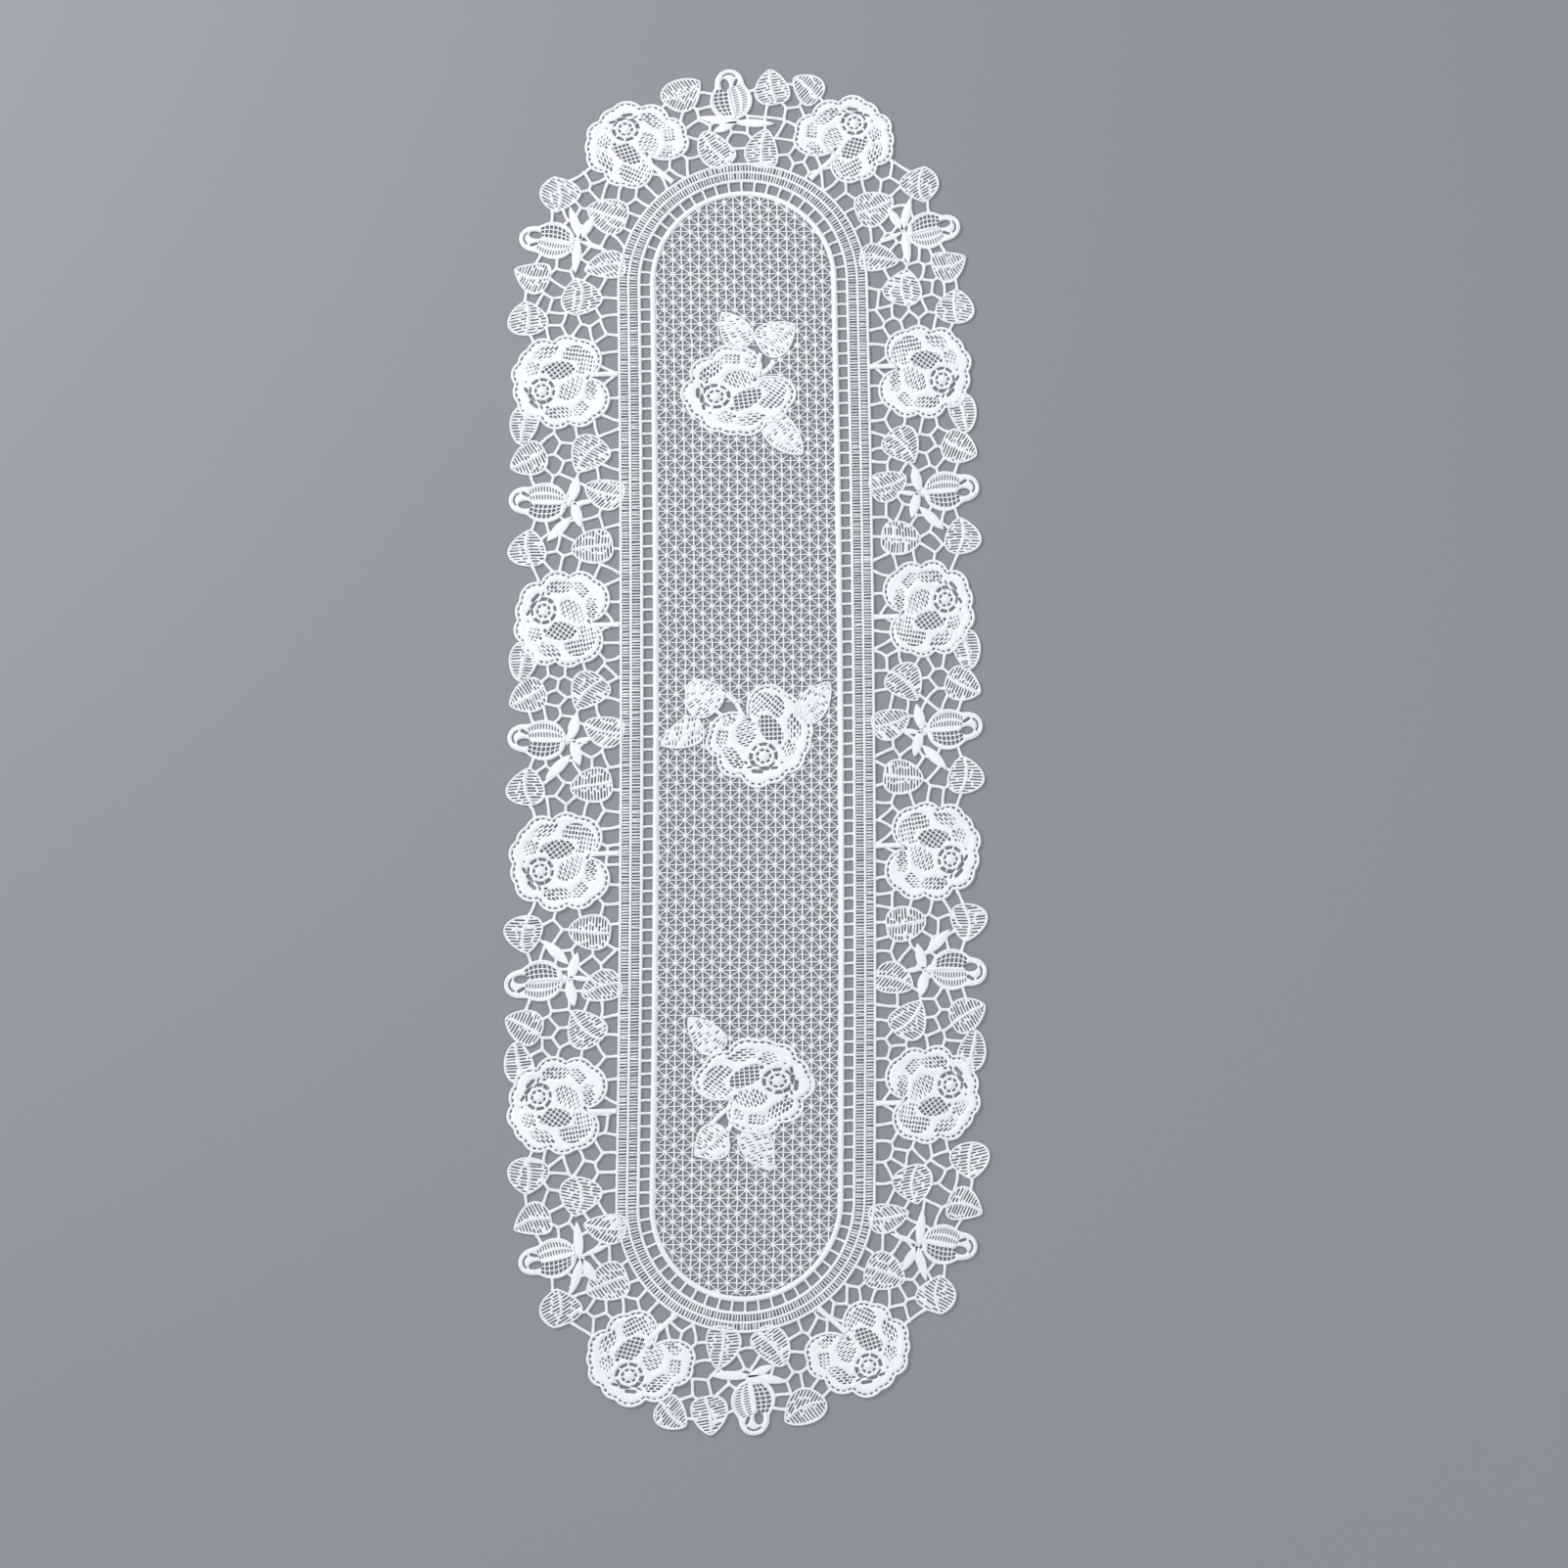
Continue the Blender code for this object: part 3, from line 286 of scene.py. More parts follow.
# The net of the field: pitch across and along, and its upright, level and slanted threads
NET_ACROSS = 5.97
NET_ALONG = 4.95
NET_START = 1.85
NET_COLUMNS = 10
NET_ROWS = 75
NET_SEED = 5
NET_SHAKE = 0.16
NET_RIM = 61.0
NET_RIM_STEPS = 48
NET_UNDER = 0.92
NetThread = namedtuple("NetThread", "wide high base shake uneven")
UPRIGHT = NetThread(1.2, 0.95, 0.05, 0.12, 0.08)
LEVEL = NetThread(0.85, 0.8, 0.0, 0.08, 0.07)
SLANT = NetThread(np.array([1.65, 0.85, 0.85, 1.65]), 0.85, 0.1, 0.12, 0.06)
STAR_REACH = (2.0, 1.6)
STAR_HIGH = 1.2
STAR_UNEVEN = 0.06

# The band: each rail's middle, width and height, and each row of stitches
RAIL_STEP = 3.0
BAND_REFERENCE = 74.0
BandRail = namedtuple("BandRail", "radius wide high")
BAND_RAILS = (
    BandRail(84.7, 2, 1.7),
    BandRail(78, 1.8, 1.8),
    BandRail(70.8, 2.2, 1.8),
    BandRail(61.6, 3.8, 1.9),
)
StitchRow = namedtuple("StitchRow", "inner outer pitch wide spread high")
STITCH_ROWS = (
    StitchRow(78.2, 84.2, 1.95, 1.28, 0.2, 1.15),
    StitchRow(71.2, 77.8, 1.95, 1.15, 0.2, 1.15),
)
BAND_SEED = 7
RAIL_UNEVEN = (0.1, 0.05)
STITCH_SHAKE = (0.14, 0.22)
STITCH_UNEVEN = 0.08
STITCH_BASE = 0.1
END_BARS = 24
RUNG_FROM = LADDER_IN - 1.2
RUNG_TO = LADDER_OUT + 1.0
RUNG_WIDE = LADDER_BAR + np.array([1.1, 0.1, -0.1, 0.1, 1.1])
RUNG_HIGH = 1.3
RUNG_SHAKE = 0.08

# The bars of the open ground, wider at both ends, and the knots where they meet
BAR_HIGH = 1.35
BAR_MORE = 0.32
BAR_WIDTHS = BAR_WIDE + BAR_MORE + np.array([1.0, 0.3, 0.0, 0.0, 0.3, 1.0]) * 0.8
BAR_SHAKE = 0.07
BAR_BOW = 0.03
BAR_UNEVEN = (0.06, 0.05)
BAR_REACH = 0.6
BAR_SEED = 3
JOINT = (1.55, 1.25)
JOINT_HIGH = 1.5

# Sepals and stems as flat cords, and the knot at a bud's foot
STRIP_POINTS = 14
SEPAL_CORD = (0.12, 0.88, 0.9)
SEPAL_MORE = 1.45
SEPAL_REACH = 0.06
SEPAL_HIGH = 1.5
STEM_HIGH = 1.7
STEM_MORE = 1.15
STEM_FLARE = 0.8
HUB = (0.6, 3.6, 3.0, 1.55)

# The leaf: points and insets of its outlines, its rim and midrib, and its relief
LEAF_POINTS = (40, 44, 60)
LEAF_INSET = (1.0, 1.7)
LEAF_CORD = (1.35, 1.5)
LEAF_VEIN = (1.3, 1.6, 0.4)
VEIN_SHARE = (0.01, 0.96)
VEIN_POINTS = 9
VEIN_FOOT = 1.1
LEAF_KEEP = (1.15, 0.5)
LEAF_RELIEF = (1.1, 0.35, 0.25)
LEAF_WAVES = (2.4, 1.3)
LEAF_SHARE = (0.001, 0.999)
LEAF_SPARE = 0.1
LEAF_STEP = 1.7
LEAF_SEED = 17

# How closely a leaf is worked: pitch of its slits, their lengths, gaps and widths
Weave = namedtuple("Weave", "pitch slit gap wide share")
EDGE_WEAVE = Weave(1.95, (4.5, 10.0), (0.6, 1.1), (0.8, 1.3), 0.97)
SIDE_WEAVE = Weave(2.0, (4.0, 9.0), (0.6, 1.2), (0.8, 1.35), 0.97)
FIELD_WEAVE = Weave(2.0, (2.0, 4.4), (1.0, 2.2), (0.6, 1.05), 0.7)
LINE_SHAKE = 0.05
SLIT_SHAKE = 0.12
LEAST_SLIT = 0.9

# A slit's shape: where it is full along its length, and how blunt a fine one's ends are
SLIT_FULL = (0.17, 0.83)
FINE_SLIT = 0.85
FINE_BLUNT = 0.6

# The bud: its satin rim and vein, slits on one side and a grid on the other
BUD_CORD = (1.9, 1.6)
BUD_VEIN = (2.3, 1.9, 0.3)
BUD_VEIN_WAY = (1.6, 24.0, 0.8, 3.0)
BUD_VEIN_CLEAR = 0.6
BUD_POINTS = (60, 64, 90)
BUD_INSET = (0.5, 0.9)
BUD_LOW = 1.1
BUD_RIDGE = (1.4, 1.1, 0.5)
BUD_SWELL = (0.25, 0.3)
BUD_RIM = 2.0
BUD_SLITS = (4.0, 27.0, 1.95)
BUD_SLIT_WIDE = 0.85
BUD_COLUMNS = ((0.04, 0.42), (0.56, 0.98))
BUD_GRID = (5.0, 26.0, 3.1)
BUD_GRID_ROWS = 3
BUD_LEAST = (1.2, 1.3)
BUD_THREAD = 0.7
BUD_LEAN = 0.12
BUD_STEP = 1.5
LOOP_MIDDLE = (32.9, -1.6)
LOOP_SLIT = (4.7, -80.0, 55.0, 1.25)
LOOP_TAPER = 8.0
LOOP_POINTS = 9
EYE_POINTS = 18
LOOP_COMMA = ((32.6, -7.0), (26.6, -4.0), 2.2)

# The rose's open work in its own frame, with the band towards +x
Patch = namedtuple("Patch", "x y long wide turn way slit open step row stagger dark")
ROSE_PATCHES = (
    Patch(-0.6, 8.3, 11.2, 6, 10, 40, 2.15, 2.05, 2.8, 2.65, 0, 0),
    Patch(8.8, -3.5, 9.8, 6.2, 50, -62, 3.7, 0.8, 4.4, 1.75, 0.5, -100),
    Patch(12.6, 16.4, 11.4, 8.6, -35, 84, 2.3, 1.2, 2.95, 2.1, 0, 120),
    Patch(-9.2, 20.2, 9, 4, 36, 42, 4, 1.15, 4.7, 1.9, 0.5, 45),
    Patch(-17.8, 7.8, 5.8, 4.3, 60, 66, 2.6, 0.85, 3.4, 1.75, 0.5, 60),
    Patch(1.9, -20.8, 8.8, 4.2, 3, -38, 3.2, 1.15, 3.8, 1.85, 0.5, 180),
    Patch(22, -5.4, 3.8, 7.6, 4, 16, 2.6, 0.95, 3.2, 1.65, 0.5, 90),
    Patch(17, -16.2, 3.8, 7.8, -42, 6, 2.6, 1, 3.2, 1.7, 0.5, 0),
)
GRID_OPEN = 1.5
PATCH_ROWS = 12
PATCH_STEPS = 8
PATCH_SHARE = (0.75, 1.0)
PATCH_UNEVEN = 0.4
PATCH_SHAKE = 0.16
PATCH_LANE = 0.9
PATCH_BORDER = 28
LEAST_OPEN = 0.75
EYE_CLEAR = Patch(-10.3, -6.2, 8.9, 8.9, *(0.0,) * 8)
PATCH_SEED = 29
Slit = namedtuple("Slit", "x0 y0 x1 y1 wide")
ROSE_SLITS = (
    Slit(-21.9, -4.3, -19, -8.2, 1.8),
    Slit(-18.9, -8.6, -15.1, -12.6, 2.6),
    Slit(-18, -12.9, -12, -18.3, 2.5),
    Slit(-13.2, -12.3, -9.2, -15.6, 1.1),
    Slit(-10.6, -15.8, -8.9, -18.9, 1.2),
    Slit(-7.2, -17, -4.6, -17.5, 1.5),
    Slit(-21.6, -0.9, -20.6, -0.1, 1.1),
    Slit(-15.4, 10.6, -14.9, 9, 0.8),
    Slit(-13.9, 12.6, -13.2, 11, 1.2),
)
Ring = namedtuple("Ring", "x y radius first last count slit wide")
ROSE_RINGS = (
    Ring(-10.3, -6.2, 4.1, 0, 360, 7, 2.7, 1.4),
    Ring(-10.3, -6.2, 7.7, 62, 152, 2, 5.3, 2.1),
    Ring(-10.3, -6.2, 7.7, 15, 62, 1, 5.3, 2.1),
    Ring(-10.3, -6.2, 7.7, 158, 200, 1, 4.6, 1.4),
    Ring(-10.3, -6.2, 7.7, 335, 12, 1, 4, 1.6),
    Ring(-10.3, -6.2, 7.9, 262, 328, 2, 4.3, 2.5),
    Ring(-10.3, -6.2, 7.9, 212, 250, 1, 3.6, 1.3),
)
RING_POINTS = 5
RING_TAPER = 0.8
DASH_IN = 2.35
DASH_PITCH = 3.9
DASH_LONG = (2.2, 3.2)
DASH_WIDE = (0.85, 1.5)
DASH_SHAKE = 0.04
SLIT_CLEAR = 3.4
ROSE_CORD = (1.9, 1.8)
ROSE_POINTS = (110, 150, 400)
ROSE_INSET = (0.5, 0.9)
ROSE_STEP = 1.45

Ridge = namedtuple("Ridge", "x y radius first last wide high")
ROSE_RIDGES = (
    Ridge(-10.3, -6.2, 5.9, 0, 360, 1.5, 0.75),
    Ridge(-10.3, -6.2, 10.6, 60, 235, 1.7, 0.45),
    Ridge(-2.5, -6.5, 20, 48, 150, 2.2, 0.55),
    Ridge(6, -4.5, 10.6, -110, 75, 1.8, 0.6),
    Ridge(6, -4.5, 20.5, -75, 12, 2, 0.35),
    Ridge(-3, -3, 21.6, 215, 290, 1.8, 0.4),
)
SHEET_LOW = 1.15
RIM_RIDGE = (4.6, 2.2, 0.5)
RIM_GROOVE = (2.0, 0.8, 0.25)
EYE_DOME = (2.6, 0.8)
MAP_TURN = (30.0, 12.0)

# Thin sheets: rows of inner points, how clear of a rim they stay, and how far a rim drops
LATTICE_ROW = 0.87
RIM_SPARE = 0.45
RIM_DROP = 0.2

# The pieces beside the net and rails, and the thread: its map, its two tones and its satin
PIECES = (
    "net_stars",
    "edge_bars",
    "buds_and_stems",
    "leaves_of_sides",
    "leaves_of_ends",
    "roses_first",
    "roses_second",
)
THREAD_MAP = "Threads"
THREAD_TONES = ((0.3, (0.86, 0.885, 0.93, 1.0)), (0.7, (0.94, 0.95, 0.965, 1.0)))
SATIN_FINE = 2.2
SATIN_LONG = 0.1

# The camera, floor and light, in metres and radians
LENS = 50.0
SENSOR = 36.0
LOOK_AT = (0.0258, -0.034)
CAMERA_FAR = 1.446
CAMERA_TILT = 0.0899
CAMERA_ROLL = -0.0028
FLOOR_HALF = 30.0
FLOOR_GAP = 0.0001
FLOOR_COLOUR = (0.275, 0.285, 0.305, 1.0)
FLOOR_ROUGH = 0.9
SKY_COLOUR = (0.92, 0.95, 1.0, 1.0)
WORLD_LIGHT = 0.68
Light = namedtuple("Light", "name place size power colour")
LIGHTS = (
    Light("key", (-1.55, 1.1, 1.25), 0.55, 28, (1, 0.99, 0.975)),
    Light("fill", (1.5, -0.9, 1.8), 1.6, 8.5, (0.95, 0.97, 1)),
)


def rotation(degrees):
    c = math.cos(math.radians(degrees))
    s = math.sin(math.radians(degrees))
    return np.array([[c, -s], [s, c]])


def whole_turn(count):
    return np.arange(count) * 2.0 * math.pi / count


def rays(angle):
    """The direction of each angle, one row for each."""
    return np.stack([np.cos(angle), np.sin(angle)], 1)


def leftward(way):
    return np.array([-way[1], way[0]])


def oval(count, well):
    """An ellipse with the place, half sizes and turn of a well or a patch."""
    ring = rays(whole_turn(count)) * (well.long, well.wide)
    return ring @ rotation(well.turn).T + (well.x, well.y)


def leaf_swell(share, blunt, taper):
    """How wide a leaf is this far along it, as a share of its greatest width."""
    fullest = blunt / (blunt + taper)
    return (share / fullest) ** blunt * ((1.0 - share) / (1.0 - fullest)) ** taper


def leaf_outline(count, long, wide, blunt, taper, bend):
    """A leaf along x, tip ahead; its midrib bends sideways by the bend at its middle."""
    t = whole_turn(count)
    s = 0.5 - 0.5 * np.cos(t)
    side = np.where(t < math.pi, -1.0, 1.0)
    across = 0.5 * wide * side * leaf_swell(s, blunt, taper) + leaf_bend(s, bend)
    return np.stack([long * (s - LEAF_MIDDLE), across], 1)


def leaf_bend(share, bend):
    return bend * (1.0 - (2.0 * share - 1.0) ** 2 - 0.5)


def petal_reach(angle, deep=0.0, notch=0.0):
    """The rose's outline from its middle, with how much deeper its stem's notch is, and where."""
    ray = rays(angle)
    best = np.zeros(len(angle))
    for petal in PETALS:
        along = ray @ np.array([petal.x, petal.y])
        inside = along**2 - petal.x**2 - petal.y**2 + petal.reach**2
        hit = along + np.sqrt(np.maximum(inside, 0.0))
        best = np.maximum(best, np.where(inside > 0.0, hit, 0.0))
    off = np.angle(np.exp(1j * (angle - notch))) / NOTCH_WIDE
    return best - deep * np.exp(-(off**2))


def rose_outline(count, inset=0.0, deep=0.0, notch=0.0):
    angle = whole_turn(count)
    return rays(angle) * (petal_reach(angle, deep, notch) - inset)[:, None]


def ray_reach(ray, hub, well):
    """How far each ray from the hub runs inside an ellipse that holds the hub."""
    half = np.array([well.long, well.wide])
    start = (hub - np.array([well.x, well.y])) / half
    way = ray / half
    a, b, c = (way**2).sum(1), way @ start, start @ start - 1.0
    return (np.sqrt(b**2 - a * c) - b) / a


def bud_outline(count, inset=0.0):
    """The bud's body and the loop at its tip as one outline."""
    ray = rays(whole_turn(ROUND_STEPS))
    both = ray_reach(ray, BUD_HUB, BUD_BODY), ray_reach(ray, BUD_HUB, LOOP)
    reach = np.linalg.norm(both, BUD_BLEND, axis=0)
    return evenly(BUD_HUB + ray * (reach - inset)[:, None], count)


def round_ring(ring):
    """How long a closed ring is, and what gives the points this far round it."""
    closed = np.concatenate([ring, ring[:1]])
    way = np.concatenate([[0.0], np.cumsum(np.linalg.norm(np.diff(closed, axis=0), axis=1))])
    return way[-1], lambda at: np.stack([np.interp(at, way, closed[:, axis]) for axis in (0, 1)], 1)


def evenly(ring, count):
    """A closed ring with this many points, evenly apart."""
    length, points_at = round_ring(ring)
    return points_at(np.arange(count) * length / count)


def placed(shape, points):
    return points @ shape.frame.T + shape.origin


def shape_of(row, view, aside=(0.0, 0.0)):
    """One motif seen this way round and moved aside; its frame turns its own drawing."""
    mirror = np.diag(view).astype(float)
    frame = rotation(row.turn) @ np.diag([1.0, float(getattr(row, "flip", 1))])
    size = ()
    if isinstance(row, Leaf):
        size = (row.long, row.wide, row.blunt, row.taper, row.bend)
    elif isinstance(row, Rose):
        size = (row.deep, row.notch)
        frame = np.diag([row.wide, row.high]) @ frame
    else:
        frame = frame @ np.diag([row.long, row.wide])
    return Shape(row, mirror @ frame, mirror @ np.array([row.u, row.v]) + aside, size)


def layout():
    """Every motif in its place, and every stem and sepal."""
    shapes, strips = [], []
    for view in ((1, 1), (-1, 1)):
        for rose in SIDE_ROSES:
            shapes.append(shape_of(rose, view))
            stem_v = rose.v + rose.flip * STEM_RISE
            strips.append(strip_of(Stem(STEM_OUT, stem_v, STEM_IN, stem_v, STEM_WIDE), view))
    for group in GROUPS:
        for shift in group.shifts:
            outer, inner = (shift.outer, shift.along), (shift.inner, shift.along)
            for row in group.motifs:
                shapes.append(shape_of(row, shift.view, outer if row.edge else inner))
            strips += [strip_of(row, shift.view, outer) for row in group.sepals]
            strips += [strip_of(row, shift.view, inner) for row in group.stems]
    return shapes, strips


def strip_of(row, view, aside=(0.0, 0.0)):
    start = np.array([row.u0, row.v0]) * view + aside
    end = np.array([row.u1, row.v1]) * view + aside
    return Strip(start, end, row.wide, isinstance(row, Sepal))


def strip_ring(strip):
    """The outline of a sepal, narrow at both ends, or of a plain stem."""
    way = strip.end - strip.start
    across = leftward(way) / np.linalg.norm(way)
    s = np.linspace(0.0, 1.0, SEPAL_POINTS if strip.sepal else 2)
    half = np.full(len(s), 0.5 * strip.wide)
    if strip.sepal:
        tip, belly, round_off = SEPAL_FORM
        half *= tip + belly * np.sin(math.pi * s) ** round_off
    low = strip.start + np.outer(s, way) - np.outer(half, across)
    top = strip.start + np.outer(s, way) + np.outer(half, across)
    return counterclockwise(np.concatenate([low, top[::-1]]))


def counterclockwise(points):
    x, y = points[:, 0], points[:, 1]
    area = np.sum(x * np.roll(y, -1) - y * np.roll(x, -1))
    return points if area > 0.0 else points[::-1]


def outline(shape, counts):
    """The closed outline of one motif, as seen from above."""
    count = counts[type(shape.row)]
    if isinstance(shape.row, Leaf):
        ring = leaf_outline(count, *shape.size)
    elif isinstance(shape.row, Rose):
        ring = rose_outline(count, 0.0, *shape.size)
    else:
        ring = bud_outline(count)
    return counterclockwise(placed(shape, ring))


def band_radius(radius, angle):
    """The band is a little narrower over the round ends than along the sides."""
    over = max(radius - LADDER_OUT, 0.0)
    return radius - over * (1.0 - END_SQUEEZE) * np.sin(angle)


def band_ring(radius, end_steps=END_STEPS):
    """A closed line that runs round the band, this far out from its middle."""
    points = []
    for end in (1, -1):
        for angle in math.pi * np.arange(end_steps + 1) / end_steps:
            reach = band_radius(radius, angle)
            along = ARC_CENTRE + reach * math.sin(angle)
            points.append((end * reach * math.cos(angle), end * along))
        for k in range(1, SIDE_STEPS):
            along = ARC_CENTRE * (1.0 - 2.0 * k / SIDE_STEPS)
            points.append((-end * radius, end * along))
    return np.array(points)


def inside(points, ring):
    """True for each point that lies inside the closed ring."""
    x, y = points[:, 0], points[:, 1]
    x0, y0 = ring[:, 0], ring[:, 1]
    x1, y1 = np.roll(x0, -1), np.roll(y0, -1)
    found = np.zeros(len(points), bool)
    box = (x >= x0.min()) & (x <= x0.max()) & (y >= y0.min()) & (y <= y0.max())
    if not box.any():
        return found
    px, py = x[box][:, None], y[box][:, None]
    crosses = (y0 > py) != (y1 > py)
    with np.errstate(divide="ignore", invalid="ignore"):
        at = x0 + (py - y0) * (x1 - x0) / (y1 - y0)
    found[box] = (np.sum(crosses & (px < at), axis=1) % 2) == 1
    return found


def along_border(point):
    """Sorts points by their way round the border, from the middle of its right side."""
    u, v = point
    turn = math.atan2(v - max(min(v, ARC_CENTRE), -ARC_CENTRE), u)
    if turn < 0.0 or (turn == 0.0 and v < 0.0):
        turn += 2.0 * math.pi
    return turn, v if u > 0.0 else -v


def border_edge(shapes):
    """The line that joins the outer motifs, along which the outer bars run."""
    anchors = []
    for shape in shapes:
        if not shape.row.edge:
            continue
        middle = shape.origin
        if isinstance(shape.row, Bud):
            middle = placed(shape, np.array([[BUD_BODY.x, 0.0]]))[0]
        rest = np.array([0.0, max(min(middle[1], ARC_CENTRE), -ARC_CENTRE)])
        way = middle - rest
        anchors.append(middle + EDGE_OUT * way / np.linalg.norm(way))
    anchors.sort(key=along_border)
    return np.array(anchors)


def open_ground(points, edge, solids):
    """True for each point inside the edge that no solid form covers."""
    free = inside(points, edge)
    for ring in solids:
        free &= ~inside(points, ring)
    return free


def nearest(points, seeds):
    best = np.zeros(len(points), int)
    for start in range(0, len(points), CHUNK):
        part = points[start : start + CHUNK]
        gap = ((part[:, None, :] - seeds[None, :, :]) ** 2).sum(2)
        best[start : start + CHUNK] = gap.argmin(1)
    return best


def spread_seeds(edge, solids):
    """One point for each cell of the ground, evenly apart but in no order."""
    low, high = edge.min(0), edge.max(0)
    axes = [np.arange(a, b, SPREAD_STEP) for a, b in zip(low, high)]
    lattice = np.stack(np.meshgrid(*axes), -1).reshape(-1, 2)
    lattice = lattice[open_ground(lattice, edge, solids)]
    uneven = np.random.default_rng(SEED).uniform(*UNEVEN, len(lattice))
    gap = np.full(len(lattice), 2.0 * FAR)
    picked = []
    while not picked or gap.max() > CELL_GAP:
        far = int((gap * uneven).argmax())
        picked.append(lattice[far])
        gap = np.minimum(gap, np.hypot(*(lattice - lattice[far]).T))
    seeds = np.array(picked)
    for _ in range(SPREAD_ROUNDS):
        owner = nearest(lattice, seeds)
        total = np.maximum(np.bincount(owner, minlength=len(seeds)), 1)
        for axis in (0, 1):
            mean = np.bincount(owner, lattice[:, axis], len(seeds)) / total
            seeds[:, axis] = np.where(total > 1, mean, seeds[:, axis])
    return seeds


def centre_of(a, b, c):
    """The point equally far from three others."""
    d = 2.0 * ((b[0] - a[0]) * (c[1] - a[1]) - (b[1] - a[1]) * (c[0] - a[0]))
    if abs(d) < LEAST_LINE:
        return None
    p = (b - a) @ (b - a)
    q = (c - a) @ (c - a)
    x = ((c[1] - a[1]) * p - (b[1] - a[1]) * q) / d
    y = ((b[0] - a[0]) * q - (c[0] - a[0]) * p) / d
    return a + np.array([x, y])


def cell_walls(seeds):
    """The straight walls midway between neighbouring seeds."""
    every = np.concatenate([seeds, oval(FAR_POINTS, FAR_SEEDS)])
    result = delaunay_2d_cdt([Vector(point) for point in every], [], [], 0, LEAST_LINE)
    place = np.array([tuple(point) for point in result[0]])
    beside = {}
    for face in result[2]:
        centre = centre_of(*[place[k] for k in face])
        if centre is None:
            continue
        for k in range(3):
            pair = (min(face[k], face[k - 1]), max(face[k], face[k - 1]))
            beside.setdefault(pair, []).append(centre)
    walls = []
    for ends in beside.values():
        if len(ends) < 2 or min(abs(end).max() for end in ends) > FAR:
            continue
        start, end = sorted(ends, key=lambda point: abs(point).max())
        way = end - start
        length = np.linalg.norm(way)
        if length > LEAST_LINE:
            walls.append((start, start + way * min(1.0, 0.5 * FAR / length)))
    return walls


def open_runs(lines, edge, solids):
    """The runs of straight lines that lie over open ground."""
    samples = []
    for start, end in lines:
        count = max(int(np.linalg.norm(end - start) / RUN_STEP), 2)
        s = np.linspace(0.0, 1.0, count + 1)
        samples.append(start + np.outer(s, end - start))
    free = open_ground(np.concatenate(samples), edge, solids)
    runs = []
    first = 0
    for points in samples:
        for run in runs_of(points, free[first : first + len(points)]):
            runs.append((run[0], run[-1]))
        first += len(points)
    return runs


def bar_runs(shapes, solids):
    """The straight bars between the motifs and along the open edge."""
    edge = border_edge(shapes)
    solids = [band_ring(BAND_OUT)] + solids
    runs = open_runs(cell_walls(spread_seeds(edge, solids)), edge, solids)
    rim = [(edge[k - 1], edge[k]) for k in range(len(edge))]
    return runs + open_runs(rim, edge * EDGE_SPARE, solids)


def off_line(points, start, end):
    way = end - start
    length = max(np.linalg.norm(way), LEAST_LINE)
    s = np.clip((points - start) @ way / length**2, 0.0, 1.0)
    return np.linalg.norm(points - start - np.outer(s, way), axis=1)


def laid(points):
    """The runner as it lies: bowed sideways, its border askew and drawn in on the right."""
    drawn = RIGHT_DRAWN * np.maximum(points[:, 0] - DRAWN_FROM, 0.0)
    x = points[:, 0] - drawn - BOW * (points[:, 1] / HALF_LONG) ** 2 - LEAN * points[:, 1]
    y = points[:, 1] + SKEW * points[:, 0]
    return np.stack([x, y], 1)


